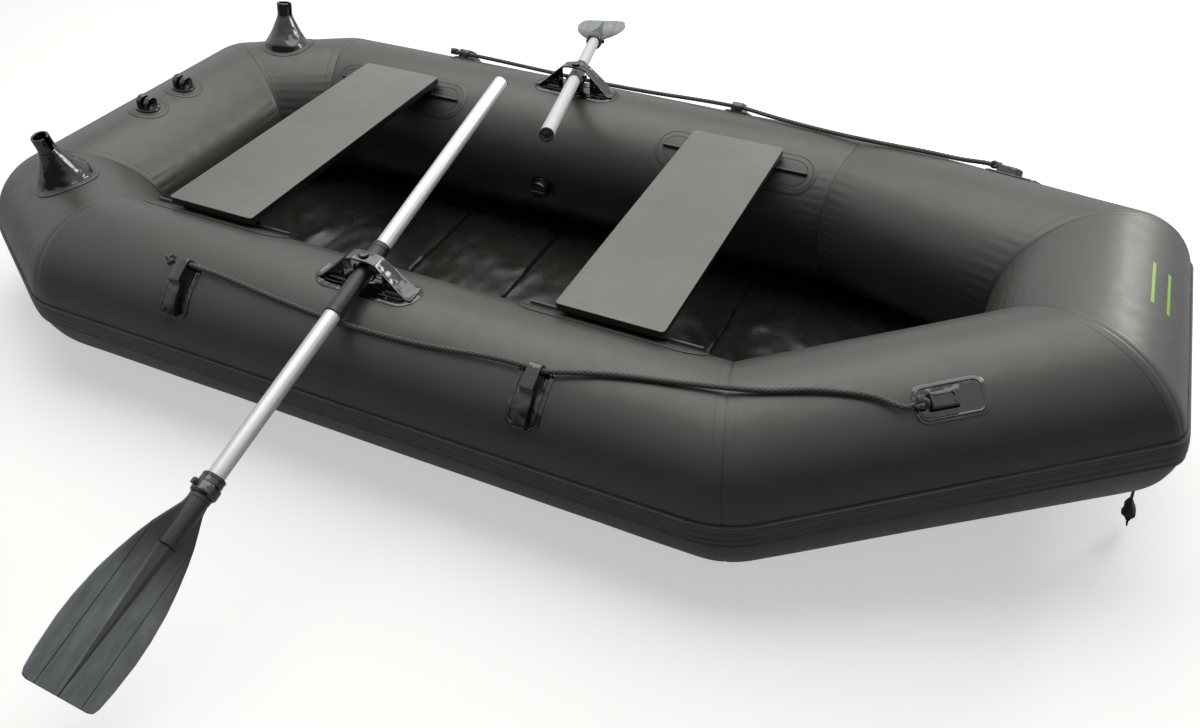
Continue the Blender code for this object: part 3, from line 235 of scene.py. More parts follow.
@dataclass(frozen=True)
class Finish:
    """A moulded or coated surface with a clouded tone, a fine grain and uneven gloss."""

    name: str
    slot: str
    dark: Colour
    light: Colour
    gloss: tuple[float, float]
    cloud: float = 7.0
    grain: float = 450.0
    grain_depth: float = 0.00005
    specular: float = 0.5

    def tone(self, board: NodeBoard) -> Socket:
        """The surface's colour."""
        return self.mottled(board, board.noise(board.place, self.cloud, 4.0))

    def mottled(self, board: NodeBoard, pattern: Socket) -> Socket:
        """The finish's two colours over a pattern."""
        return board.blend(board.spread(pattern), self.dark, self.light)

    def roughness(self, board: NodeBoard) -> Socket:
        """The surface's roughness, with faint rubbed places."""
        return board.spread(board.noise(board.place, self.cloud * 5, 5.0), *self.gloss)

    def surface(self, board: NodeBoard) -> Socket:
        """The surface's relief."""
        wave = board.relief(board.noise(board.place, self.grain / 12), self.grain_depth * 3)
        return board.relief(board.noise(board.place, self.grain), self.grain_depth, wave)

    def paint(self, board: NodeBoard) -> None:
        """Wires the finish to the shader."""
        board.wire(Base_Color=self.tone(board), Roughness=self.roughness(board), Normal=self.surface(board))
        board.wire(Specular_IOR_Level=self.specular)

    def material(self) -> bpy.types.Material:
        """The finish's material, made on first use.

        Returns:
            The one material of that name.
        """
        found = bpy.data.materials.get(self.name)
        if found is not None:
            return found
        board = NodeBoard(self.name)
        self.paint(board)
        return board.material


@dataclass(frozen=True)
class WeldedVinyl(Finish):
    """Coated fabric whose UV runs in metres from the nearest welded seam."""

    lap: float = 0.016

    def tone(self, board: NodeBoard) -> Socket:
        """The vinyl's colour, darker in the seam and along the lap's edge."""
        away = board.split(board.unwrapped)[0]
        edge = board.math("MULTIPLY", board.stripe(away, self.lap, 0.0004, 0.0009), 0.22)
        seam = board.math("MULTIPLY", board.stripe(away, 0.0, 0.0008, 0.0014), 0.65)
        return board.blend(board.math("MAXIMUM", edge, seam), Finish.tone(self, board), (0.006, 0.006, 0.006))

    def surface(self, board: NodeBoard) -> Socket:
        """The vinyl's grain, over the step where the lap ends."""
        away = board.split(board.unwrapped)[0]
        step = board.relief(board.ramp(away, self.lap - 0.0006, self.lap + 0.0006, 1.0, 0.0), 0.0004)
        slow = board.relief(board.noise(board.place, 26.0, 2.0), 0.0005, step)
        return board.relief(board.noise(board.place, self.grain), self.grain_depth, slow)


@dataclass(frozen=True)
class BarredVinyl(WeldedVinyl):
    """Welded vinyl with two plain painted bars across the top of the bow."""

    bar_colour: Colour = (0.33, 0.62, 0.06)
    bar_reach: float = 0.058
    bars: tuple[float, float] = (1.218, 1.246)

    def tone(self, board: NodeBoard) -> Socket:
        """The vinyl's colour with the bars on it."""
        along, out, up = board.split(board.place)
        across = board.stripe(out, 0.0, self.bar_reach, 0.0006)
        first, second = (board.stripe(along, x, 0.0024, 0.0006) for x in self.bars)
        upper = board.ramp(up, 0.30, 0.31, 0.0, 1.0)
        mask = board.math("MULTIPLY", board.math("MULTIPLY", across, board.math("MAXIMUM", first, second)), upper)
        return board.blend(mask, WeldedVinyl.tone(self, board), self.bar_colour)


@dataclass(frozen=True)
class Laminate(Finish):
    """A board's printed face: a fine fleck that runs along the board."""

    def tone(self, board: NodeBoard) -> Socket:
        """The face's colour."""
        fleck = board.noise(board.stretched(board.place, (900.0, 160.0, 900.0)), 1.0, 2.0)
        return board.blend(board.ramp(fleck, 0.35, 0.75, 0.0, 0.5), Finish.tone(self, board), self.light)


@dataclass(frozen=True)
class MouldedGloss(Finish):
    """A glossy moulding whose surface wavers, so that highlights break into streaks."""

    waver: float = 42.0
    waver_depth: float = 0.0026

    def surface(self, board: NodeBoard) -> Socket:
        """The moulding's waver under its grain."""
        return board.relief(board.noise(board.place, self.waver, 1.0), self.waver_depth, Finish.surface(self, board))


@dataclass(frozen=True)
class MouldedBlade(Finish):
    """A moulded oar blade whose UV is metres across and along it, with a pressed line on each side."""

    line: float = 0.038
    line_from: float = 0.530
    keel_end: float = 0.780
    keel_foot: float = 0.0130

    def pressed(self, board: NodeBoard) -> Socket:
        """1 in the pressed lines."""
        split = board.split(board.unwrapped)
        lines = board.stripe(board.math("ABSOLUTE", split[0]), self.line, 0.0005, 0.0007)
        return board.math("MULTIPLY", lines, board.ramp(split[1], self.line_from, self.line_from + 0.01, 0.0, 1.0))

    def tone(self, board: NodeBoard) -> Socket:
        """The plastic's colour: streaked by the mould, darker over the socket, with painted shade in the pressed lines
        and on the keel's ridge.
        """
        split = board.split(board.unwrapped)
        streak = board.noise(board.stretched(board.unwrapped, (60.0, 14.0, 1.0)), 1.0, 3.0)
        plain = self.mottled(board, streak)
        # Darker over the socket, fading out along the blade past the socket's end.
        socket_darkening = board.ramp(split[1], self.line_from + 0.02, self.line_from + 0.12, 0.88, 0.0)
        shaded = board.blend(socket_darkening, plain, (0.018, 0.018, 0.018))
        # Painted shade: the keel's ridge is darkened over its foot, narrowing towards the keel's end.
        foot = board.ramp(split[1], self.line_from, self.keel_end, self.keel_foot, 0.0)
        side = board.math("DIVIDE", board.math("ABSOLUTE", split[0]), board.math("ADD", foot, 0.0012))
        shaded = board.blend(board.ramp(side, 0.85, 1.1, 0.9, 0.0), shaded, (0.012, 0.012, 0.012))
        # Painted shade in the pressed lines.
        return board.blend(board.math("MULTIPLY", self.pressed(board), 0.85), shaded, (0.010, 0.010, 0.010))

    def surface(self, board: NodeBoard) -> Socket:
        """The plastic's grain and its pressed lines."""
        return board.relief(board.math("SUBTRACT", 1.0, self.pressed(board)), 0.0006, Finish.surface(self, board))


@dataclass(frozen=True)
class BrushedMetal(Finish):
    """Drawn aluminium tube whose UV runs round it and, in metres, along it."""

    def tone(self, board: NodeBoard) -> Socket:
        """The metal's colour, drawn out along the tube."""
        streak = board.noise(board.stretched(board.unwrapped, (46.0, 5.0, 1.0)), 1.0, 4.0)
        return self.mottled(board, streak)

    def roughness(self, board: NodeBoard) -> Socket:
        """The metal's roughness, in the same streaks."""
        streak = board.noise(board.stretched(board.unwrapped, (70.0, 7.0, 1.0)), 1.0, 5.0)
        return board.spread(streak, *self.gloss)

    def paint(self, board: NodeBoard) -> None:
        """Wires the finish to the shader."""
        Finish.paint(self, board)
        board.wire(Metallic=0.3)


@dataclass(frozen=True)
class Braid(Finish):
    """Braided rope whose UV runs round it and, in metres, along it."""

    strands: float = 4.0
    pitch: float = 0.020

    def strand(self, board: NodeBoard, way: float) -> Socket:
        """The height of the strands that wind one way."""
        turn, run = board.split(board.unwrapped)[:2]
        turn = board.math("MULTIPLY", turn, self.strands * math.tau)
        run = board.math("MULTIPLY", run, way * math.tau * self.strands / self.pitch / 2)
        return board.math("SINE", board.math("ADD", turn, run))

    def tone(self, board: NodeBoard) -> Socket:
        """The rope's colour, with painted shade between its strands."""
        woven = board.math("MAXIMUM", self.strand(board, 1.0), self.strand(board, -1.0))
        fibre = board.math("ADD", woven, board.noise(board.stretched(board.unwrapped, (60.0, 900.0, 1.0)), 1.0, 2.0))
        return board.blend(board.ramp(fibre, -0.1, 1.6, 0.0, 1.0), self.dark, self.light)


@dataclass(frozen=True)
class Webbing(Finish):
    """Flat woven strap: ribs across it, a fleck of light threads."""

    def surface(self, board: NodeBoard) -> Socket:
        """The weave's ribs."""
        rib = board.math("SINE", board.math("MULTIPLY", board.split(board.place)[2], 2400.0))
        return board.relief(rib, 0.0003, board.relief(board.noise(board.place, 900.0), 0.0003))


HULL_VINYL = WeldedVinyl(
    "hull_skin", "hull_vinyl", (0.040, 0.041, 0.036), (0.050, 0.051, 0.045), (0.38, 0.46), specular=0.62
)
BOW_VINYL = BarredVinyl(
    "bow_skin", "hull_vinyl", (0.040, 0.041, 0.036), (0.050, 0.051, 0.045), (0.38, 0.46), specular=0.62
)
PATCH_VINYL = Finish(
    "welded_patch_skin", "welded_patch", (0.036, 0.037, 0.033), (0.046, 0.047, 0.042), (0.36, 0.44), specular=0.6
)
SHEET_VINYL = Finish(
    "bottom_skin", "hull_vinyl", (0.020, 0.020, 0.018), (0.032, 0.032, 0.028), (0.22, 0.34), grain_depth=0.0001
)
SLAT_VINYL = Finish(
    "floor_skin", "floor_vinyl", (0.016, 0.016, 0.014), (0.026, 0.026, 0.023), (0.22, 0.34), grain_depth=0.00012
)
STRAKE_RUBBER = Finish("strake_skin", "strake_rubber", (0.040, 0.042, 0.043), (0.054, 0.057, 0.058), (0.40, 0.52))
BOARD_FACE = Laminate(
    "seat_face", "seat_board", (0.138, 0.137, 0.127), (0.178, 0.176, 0.165), (0.36, 0.46), grain_depth=0.00002
)
BOARD_EDGE = Finish("seat_edge", "seat_board", (0.003, 0.003, 0.003), (0.006, 0.006, 0.006), (0.28, 0.40))
TRACK_PLASTIC = Finish(
    "seat_track_skin", "seat_track_plastic", (0.010, 0.010, 0.010), (0.016, 0.016, 0.016), (0.35, 0.50)
)
BLACK_GLOSS = MouldedGloss(
    "fitting_skin",
    "fitting_plastic",
    (0.004, 0.004, 0.004),
    (0.009, 0.009, 0.009),
    (0.08, 0.17),
    cloud=30.0,
    grain_depth=0.00002,
    specular=0.85,
)
SLEEVE_SATIN = Finish(
    "sleeve_skin", "sleeve_plastic", (0.009, 0.009, 0.010), (0.016, 0.016, 0.017), (0.28, 0.40), cloud=40.0
)
BLADE_SATIN = MouldedBlade(
    "blade_skin", "blade_plastic", (0.170, 0.188, 0.202), (0.310, 0.334, 0.356), (0.30, 0.42), cloud=14.0
)
ALUMINIUM = BrushedMetal(
    "shaft_skin", "shaft_aluminium", (0.70, 0.71, 0.73), (0.80, 0.81, 0.83), (0.28, 0.38), grain_depth=0.00001
)
ROPE_BRAID = Braid(
    "rope_braid", "braided_rope", (0.004, 0.004, 0.004), (0.120, 0.120, 0.112), (0.60, 0.80), grain=1200.0
)
STRAP_WEAVE = Webbing(
    "strap_weave", "strap_webbing", (0.008, 0.008, 0.008), (0.020, 0.020, 0.020), (0.60, 0.80), cloud=120.0
)


# ---------------------------------------------------------------- the bench


class Bench:
    """One mesh on the bench, shaped with Blender's own edit operators."""

    def __init__(self, made: bpy.types.Object, name: str) -> None:
        """Names the mesh.

        Args:
            made: The object that was just added.
            name: Its name.
        """
        self.made = made
        self.made.name = name
        self.made.data.name = name

    @staticmethod
    def cleared() -> None:
        """Leaves edit mode and deselects everything."""
        if bpy.context.object is not None and bpy.context.object.mode != "OBJECT":
            bpy.ops.object.mode_set(mode="OBJECT")
        bpy.ops.object.select_all(action="DESELECT")

    @classmethod
    def grid(cls, name: str, columns: int, rows: int) -> "Bench":
        """A flat grid of faces, one unit wide."""
        cls.cleared()
        bpy.ops.mesh.primitive_grid_add(x_subdivisions=columns, y_subdivisions=rows, size=1)
        return cls(bpy.context.object, name)

    @classmethod
    def disc(cls, name: str, radius: float, sides: int = 48, height: float = 0.0, filled: bool = True) -> "Bench":
        """A round outline across Z with no point on an axis.

        Args:
            name: The piece's name.
            radius: Its radius over the flats.
            sides: How many sides it has.
            height: Its height.
            filled: Whether a face closes it.

        Returns:
            The disc on the bench.
        """
        cls.cleared()
        half = math.pi / sides
        fill = "NGON" if filled else "NOTHING"
        bpy.ops.mesh.primitive_circle_add(vertices=sides, radius=radius / math.cos(half), fill_type=fill)
        made = cls(bpy.context.object, name)
        made.placed(moved(z=height) @ turned(half, "Z"))
        return made

    @classmethod
    def rounded(cls, name: str, length: float, width: float, corner: float, sides: int = 32) -> "Bench":
        """A rounded rectangle: a disc whose quarters are moved apart.

        Args:
            name: The piece's name.
            length: Its size along X.
            width: Its size along Y.
            corner: The corners' radius.
            sides: The sides of the disc that makes the corners.

        Returns:
            The outline with its face, on the bench.
        """
        made = cls.disc(name, corner, sides)
        reach, spread = length / 2 - corner, width / 2 - corner
        made.reshape(lambda at: at + Vector((math.copysign(reach, at.x), math.copysign(spread, at.y), 0)))
        return made

    @classmethod
    def block(cls, name: str, size: Sequence[float], centre: Sequence[float]) -> "Bench":
        """A block of a size, centred at a point."""
        cls.cleared()
        bpy.ops.mesh.primitive_cube_add(size=1, location=centre, scale=size)
        made = cls(bpy.context.object, name)
        bpy.ops.object.transform_apply(location=True, rotation=True, scale=True)
        return made

    @classmethod
    def lathed(cls, name: str, profile: Sequence[tuple[float, float]], sides: int = 48, ring: bool = False) -> "Bench":
        """A round form raised from a circle: each step extrudes the rim and resizes it.

        Args:
            name: The piece's name.
            profile: Radius and height of each step, from the lowest.
            sides: How many sides it has.
            ring: Whether the profile closes on itself, round an open middle.

        Returns:
            The closed form on the bench.
        """
        radius, height = profile[0]
        made = cls.disc(name, radius, sides, height, filled=not ring)
        made.everything(Part.EDGES if ring else Part.FACES)
        steps = [*profile[1:], profile[0]] if ring else profile[1:]
        for next_radius, next_height in steps:
            factor = next_radius / radius
            made.extrude((0, 0, next_height - height)).taper(factor, factor)
            radius, height = next_radius, next_height
        return made.closed()

    def edit(self, part: Part = Part.FACES) -> "Bench":
        """Opens the mesh in edit mode."""
        self.cleared()
        bpy.context.view_layer.objects.active = self.made
        self.made.select_set(True)
        bpy.ops.object.mode_set(mode="EDIT")
        bpy.ops.mesh.select_mode(type=part.value)
        return self

    def everything(self, part: Part = Part.FACES) -> "Bench":
        """Opens the mesh in edit mode with all of it selected."""
        self.edit(part)
        bpy.ops.mesh.select_all(action="SELECT")
        return self

    def pick(self, test: Test, part: Part = Part.FACES) -> "Bench":
        """Selects what passes a test.

        Args:
            test: Takes a vertex, edge or face.
            part: Which of them it takes.

        Returns:
            The same bench, in edit mode.
        """
        self.edit(part)
        bpy.ops.mesh.select_all(action="DESELECT")
        form = bmesh.from_edit_mesh(self.made.data)
        items = {Part.VERTS: form.verts, Part.EDGES: form.edges, Part.FACES: form.faces}[part]
        for item in items:
            if test(item):
                item.select_set(True)
        bmesh.update_edit_mesh(self.made.data)
        return self

    def sharp(self, angle: float, above: float = -math.inf) -> "Bench":
        """Selects the edges sharper than an angle that reach above a height."""
        return self.pick(
            lambda edge: edge.calc_face_angle(0.0) > angle and max(v.co.z for v in edge.verts) > above, Part.EDGES
        )

    def top(self, tilt: float = 0.9) -> "Bench":
        """Selects the highest faces that look up."""
        self.edit()
        form = bmesh.from_edit_mesh(self.made.data)
        form.normal_update()
        height = max(face.calc_center_median().z for face in form.faces if face.normal.z > tilt)
        return self.pick(lambda face: face.normal.z > tilt and face.calc_center_median().z > height - 0.0002)

    def extrude(self, vector: Sequence[float]) -> "Bench":
        """Extrudes the selection by a vector."""
        bpy.ops.mesh.extrude_region_move(TRANSFORM_OT_translate={"value": tuple(vector)})
        return self

    def inset(self, width: float, depth: float = 0.0, each: bool = False) -> "Bench":
        """Insets the selected faces, together or each, and raises or sinks them."""
        bpy.ops.mesh.inset(thickness=width, depth=depth, use_individual=each)
        return self

    def raised(self, height: float, rim: Pairs = (), scale: float = 1.0) -> "Bench":
        """Extrudes the whole outline and insets its top.

        Args:
            height: How far the outline is extruded.
            rim: The width and rise of each inset.
            scale: What the rises are multiplied by.

        Returns:
            The same bench, in edit mode.
        """
        self.everything().extrude((0, 0, height))
        for width, rise in rim:
            self.inset(width, rise * scale)
        return self

    def scored(self) -> "Bench":
        """Presses a thin line inside the selected faces' rim."""
        return self.inset(LINE_WIDTH, -LINE_DEPTH).inset(LINE_WIDTH, LINE_DEPTH)

    def welded(self, thickness: float, lip: tuple[float, float], margin: float) -> "Bench":
        """Raises a patch with a soft lip, and presses a line a margin inside it."""
        return self.raised(thickness - lip[1], (lip, (margin, 0.0))).scored()

    def resize(self, x: float = 1.0, y: float = 1.0, z: float = 1.0) -> "Bench":
        """Resizes the selection about its own middle."""
        bpy.ops.transform.resize(value=(x, y, z))
        return self

    def taper(self, x: float, y: float) -> "Bench":
        """Resizes the selection across Z, about the origin."""
        bpy.ops.transform.resize(value=(x, y, 1), center_override=(0, 0, 0))
        return self

    def slide(self, x: float = 0.0, y: float = 0.0, z: float = 0.0) -> "Bench":
        """Moves the selection."""
        bpy.ops.transform.translate(value=(x, y, z))
        return self

    def bevel(self, width: float, segments: int = 2) -> "Bench":
        """Bevels the selected edges."""
        bpy.ops.mesh.bevel(offset=width, segments=segments, affect="EDGES", profile=0.5)
        return self

    def cut(self, step: float, reach: float, normal: Sequence[float] = (0, 1, 0)) -> "Bench":
        """Cuts the mesh with planes a step apart, so that it can bend round a tube."""
        self.edit()
        for index in range(-math.floor(reach / step), math.floor(reach / step) + 1):
            bpy.ops.mesh.select_all(action="SELECT")
            centre = Vector(normal) * index * step
            bpy.ops.mesh.bisect(plane_co=centre, plane_no=normal, threshold=MERGE_DISTANCE)
        return self

    def closed(self) -> "Bench":
        """Merges doubles, closes holes and turns the faces outwards."""
        self.everything(Part.VERTS)
        bpy.ops.mesh.remove_doubles(threshold=MERGE_DISTANCE)
        bpy.ops.mesh.fill_holes(sides=0)
        bpy.ops.mesh.select_all(action="SELECT")
        bpy.ops.mesh.normals_make_consistent(inside=False)
        self.cleared()
        return self

    def placed(self, matrix: Matrix) -> "Bench":
        """Moves the mesh itself, and turns it right side out after a mirror."""
        self.cleared()
        self.made.data.transform(matrix)
        if matrix.determinant() < 0:
            self.made.data.flip_normals()
        self.made.data.update()
        return self

    def reshape(self, rule: Callable[[Vector], Vector]) -> "Bench":
        """Moves each vertex by a rule."""
        self.cleared()
        for vertex in self.made.data.vertices:
            vertex.co = rule(vertex.co.copy())
        self.made.data.update()
        return self

    def laid(self, places: Sequence[Vector], maps: Sequence[tuple[float, float]] = ()) -> "Bench":
        """Sets each vertex at its place and, where maps are given, each corner's UV."""
        mesh = self.made.data
        for vertex, place in zip(mesh.vertices, places):
            vertex.co = place
        if maps:
            for loop, corner in zip(mesh.loops, mesh.uv_layers.active.data):
                corner.uv = maps[loop.vertex_index]
        return self

    def smoothed(self, degrees: float = 32.0) -> "Bench":
        """Shades smooth but for edges sharper than an angle."""
        self.cleared()
        bpy.context.view_layer.objects.active = self.made
        self.made.select_set(True)
        bpy.ops.object.shade_smooth_by_angle(angle=math.radians(degrees))
        self.cleared()
        return self

    def modified(self, kind: str, **settings: object) -> "Bench":
        """Adds a modifier and applies it."""
        self.cleared()
        modifier = self.made.modifiers.new(kind.lower(), kind)
        for option, value in settings.items():
            setattr(modifier, option, value)
        bpy.context.view_layer.objects.active = self.made
        self.made.select_set(True)
        bpy.ops.object.modifier_apply(modifier=modifier.name)
        return self

    def minus(self, cutter: "Bench") -> "Bench":
        """Cuts another mesh out of this one, and discards it."""
        self.modified("BOOLEAN", object=cutter.made, operation="DIFFERENCE", solver="EXACT")
        self.discard(cutter)
        return self

    @staticmethod
    def discard(*benches: "Bench") -> None:
        """Takes meshes off the bench for good."""
        for bench in benches:
            bpy.data.objects.remove(bench.made, do_unlink=True)

    def copied(self, name: str) -> "Bench":
        """A copy with its own mesh."""
        self.cleared()
        copy = self.made.copy()
        copy.data = self.made.data.copy()
        bpy.context.scene.collection.objects.link(copy)
        return Bench(copy, name)

    def joined(self, *others: "Bench") -> "Bench":
        """Takes other meshes into this one."""
        self.cleared()
        for other in others:
            other.made.select_set(True)
        self.made.select_set(True)
        bpy.context.view_layer.objects.active = self.made
        bpy.ops.object.join()
        self.cleared()
        return self

    def unwrap(self, rule: Callable[[Vector], tuple[float, float]], turns: bool = False) -> "Bench":
        """Gives each corner a UV by a rule on its place.

        Args:
            rule: Takes a place in the mesh and gives its U and V.
            turns: Whether U is a share of a turn, kept whole across each face.

        Returns:
            The same bench.
        """
        self.cleared()
        mesh = self.made.data
        layer = mesh.uv_layers.active or mesh.uv_layers.new(name="UVMap")
        for polygon in mesh.polygons:
            middle = rule(polygon.center)[0]
            for loop in polygon.loop_indices:
                u, v = rule(mesh.vertices[mesh.loops[loop].vertex_index].co)
                layer.data[loop].uv = (u - round(u - middle) if turns else u, v)
        return self

    def fitted(self, finish: Finish, body: str, *nodes: str) -> bpy.types.Object:
        """Dresses the piece and sets it on its body.

        Args:
            finish: Its finish.
            body: The body that it rides on.
            nodes: The CAD nodes that it stands for.

        Returns:
            The finished piece.
        """
        self.cleared()
        if not self.made.data.materials:
            self.made.data.materials.append(finish.material())
        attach(self.made, body)
        if nodes:
            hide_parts(*nodes)
        LOG.info("%s: %d faces, rides on %s", self.made.name, len(self.made.data.polygons), body)
        return self.made


def around_z(at: Vector) -> tuple[float, float]:
    """A UV rule for a round piece: share of a turn, then metres along Z."""
    return math.atan2(at.y, at.x) / math.tau, at.z


# ---------------------------------------------------------------- the hull


@dataclass
class HullTube:
    """One panel of the hull tube, between the mitre planes at its two corners."""

    name: str
    corners: tuple[Vector, Vector]
    normals: tuple[Vector, Vector]
    roundings: tuple[float, float]
    ups: list[Vector]
    radius: float = 0.160
    inner_rounding_share: float = 0.15

    @property
    def along(self) -> Vector:
        """The way from the first corner to the second."""
        return (self.corners[1] - self.corners[0]).normalized()

    @property
    def length(self) -> float:
        """The distance between the corners."""
        return (self.corners[1] - self.corners[0]).length

    def spoke(self, up: Vector, angle: float) -> Vector:
        """The way outwards at an angle from an up vector."""
        return math.cos(angle) * up + math.sin(angle) * up.cross(self.along)

    def ring_point(self, end: int, bend: float, angle: float, height: float = 0.0) -> Vector:
        """A wall point near one end.

        Args:
            end: 0 or 1.
            bend: 0 where the straight part ends, 0.5 on the mitre plane.
            angle: From the crown outwards.
            height: Above the wall.

        Returns:
            The point.
        """
        corner, normal = self.corners[end], self.normals[end]
        spoke = self.spoke(self.ups[end], angle) * (self.radius + height)
        inward = self.along if end == 0 else -self.along
        apex = corner + spoke - self.along * (spoke.dot(normal) / self.along.dot(normal))
        share = self.inner_rounding_share + (1 - self.inner_rounding_share) * max(0.0, math.sin(angle))
        near = apex + inward * self.roundings[end] * share
        far = near - 2 * (near - corner).dot(normal) * normal
        rest = 1 - bend
        return rest * rest * near + 2 * bend * rest * apex + bend * bend * far

    def straight_point(self, share: float, angle: float, height: float = 0.0) -> Vector:
        """A wall point on the straight part, at a share of it for that angle."""
        start, finish = (self.ring_point(end, 0.0, angle, height) for end in (0, 1))
        place = (start.lerp(finish, share) - self.corners[0]).dot(self.along)
        up = self.ups[0].lerp(self.ups[1], share).normalized()
        return self.corners[0] + self.along * place + self.spoke(up, angle) * (self.radius + height)

    def wall_point(self, distance: float, angle: float, height: float = 0.0) -> Vector:
        """A point at a distance from the first corner."""
        up = self.ups[1] if self.ups[0].z > self.ups[1].z else self.ups[0]
        return self.corners[0] + self.along * distance + self.spoke(up, angle) * (self.radius + height)

    def spot(self, distance: float, angle: float, height: float = 0.0) -> Matrix:
        """The frame of a wall point: X along the tube, Y round the girth, Z outwards."""
        here = self.wall_point(distance, angle, height)
        normal = (here - self.wall_point(distance, angle, -self.radius)).normalized()
        return Matrix.Translation(here) @ axes_of(self.along, normal.cross(self.along), normal)

    def wrap(self, piece: Bench, distance: float, angle: float) -> Bench:
        """Bends a flat piece round the tube: its Y follows the girth, its Z leaves the wall."""
        return piece.reshape(
            lambda at: self.wall_point(distance + at.x, angle + at.y / self.radius, SEAM_GAP + at.z)
        )

    def dress(self, piece: Bench, distance: float, angle: float, finish: Finish, name: str) -> None:
        """Bends a flat piece round the tube and fits it there."""
        self.wrap(piece, distance, angle).smoothed(30).fitted(finish, "hull", name)


@dataclass
class Hull:
    """The ring of eight inflated tubes, its strake and its bottom sheet."""

    radius: float = 0.160
    sheet: float = 0.0012
    side_half_width: float = 0.420
    kink_x: float = 0.674
    bow_x: float = 1.150
    bow_half_width: float = 0.157
    bow_rise: float = 0.103
    quarter_x: float = -0.643
    stern_x: float = -0.859
    stern_half_width: float = 0.293
    kink_rounding: float = 0.060
    bow_rounding: float = 0.026
    quarter_rounding: float = 0.040
    stern_rounding: float = 0.068
    girth_sides: int = 144
    bend_steps: int = 9
    fine_step: float = 0.005
    coarse_step: float = 0.016
    fine_reach: float = 0.070
    groove: float = 0.0008
    groove_reach: float = 0.0028
    pleat_pitch: float = 0.019
    pleat_depth: float = 0.0016
    pleat_reach: float = 0.055
    pleat_start: float = 0.010
    wave: float = 0.0007
    ripple: float = 0.00025
    fold_lift: float = 0.007
    crease_lift: float = 0.0035
    panel_joint: tuple[float, float] = (0.195, 0.232)
    strake_from: float = math.radians(83)
    strake_to: float = math.radians(101)
    strake_base: float = 0.0022
    strake_rib: float = 0.0018
    strake_ribs: int = 4
    rib_shares: Pairs = ((0.0, 0), (0.16, 0.05), (0.24, 0.8), (0.36, 1), (0.62, 1), (0.74, 0.8), (0.84, 0.05))
    sheet_lap: float = 0.020

    def __post_init__(self) -> None:
        """Lays out the tubes."""
        self.tube_z = self.sheet + SEAM_GAP + self.radius
        self.crown_z = self.tube_z + self.radius
        self.bow_tilt = math.atan(self.bow_rise / (self.bow_x - self.kink_x))
        self.tubes = {tube.name: tube for tube in self.loop()}

    def loop(self) -> list[HullTube]:
        """The eight tubes in order round the boat, from the port stern corner to the bow and back."""
        port = [
            (Vector((self.stern_x, self.stern_half_width, self.tube_z)), self.stern_rounding),
            (Vector((self.quarter_x, self.side_half_width, self.tube_z)), self.quarter_rounding),
            (Vector((self.kink_x, self.side_half_width, self.tube_z)), self.kink_rounding),
            (Vector((self.bow_x, self.bow_half_width, self.tube_z + self.bow_rise)), self.bow_rounding),
        ]
        corners = port + [(Vector((at.x, -at.y, at.z)), rounding) for at, rounding in reversed(port)]
        names = [f"port_{part}_tube" for part in ("quarter", "side", "bow_side")] + ["bow_tube"]
        names += [f"starboard_{part}_tube" for part in ("bow_side", "side", "quarter")] + ["stern_tube"]
        count = len(corners)
        ways = [(corners[(i + 1) % count][0] - corners[i][0]).normalized() for i in range(count)]
        mitres = [(ways[i - 1] + ways[i]).normalized() for i in range(count)]
        bow_up = Vector((-math.sin(self.bow_tilt), 0, math.cos(self.bow_tilt)))
        tubes = []
        for index, name in enumerate(names):
            after = (index + 1) % count
            ups = [bow_up, bow_up] if "bow" in name else [UP, UP]
            if name == "port_bow_side_tube":
                ups[0] = UP - 2 * UP.dot(mitres[index]) * mitres[index]
            if name == "starboard_bow_side_tube":
                ups[1] = UP - 2 * UP.dot(mitres[after]) * mitres[after]
            ends = (corners[index], corners[after])
            tubes.append(
                HullTube(name, (ends[0][0], ends[1][0]), (mitres[index], mitres[after]), (ends[0][1], ends[1][1]), ups)
            )
        return tubes

    def stations(self, tube: HullTube) -> list[tuple[Optional[int], float]]:
        """Where a tube's rings lie.

        Args:
            tube: The tube.

        Returns:
            For each ring its end and bend, or None and its share of the straight part.
        """
        bends = [0.5 * step / self.bend_steps for step in range(self.bend_steps, 0, -1)]
        length = (tube.ring_point(1, 0.0, 0.0) - tube.ring_point(0, 0.0, 0.0)).length
        fine = min(self.fine_reach, length / 3)
        steps = max(1, round(fine / self.fine_step))
        places = [fine * step / steps for step in range(steps + 1)]
        middle = length - 2 * fine
        count = max(1, round(middle / self.coarse_step))
        places += [fine + middle * step / count for step in range(1, count)]
        places += [length - place for place in reversed(places[: steps + 1])]
        if "_side_tube" in tube.name and "bow" not in tube.name:
            start = tube.ring_point(0, 0.0, 0.0).x
            for x in self.panel_joint:
                places += [abs(x + shift - start) for shift in (-0.002, 0.0, 0.002)]
        rings: list[tuple[Optional[int], float]] = [(0, bend) for bend in bends]
        rings += [(None, place / length) for place in sorted(places)]
        return rings + [(1, bend) for bend in reversed(bends)]

    def weld_distance(self, tube: HullTube, at: Vector, angle: float) -> float:
        """How far a wall point lies from the nearest welded seam."""
        away = min((at - tube.ring_point(end, 0.5, angle)).length for end in (0, 1))
        if "_side_tube" in tube.name and "bow" not in tube.name:
            middle = sum(self.panel_joint) / 2
            half = abs(self.panel_joint[1] - self.panel_joint[0]) / 2
            away = min(away, HULL_VINYL.lap + abs(abs(at.x - middle) - half))
        return away

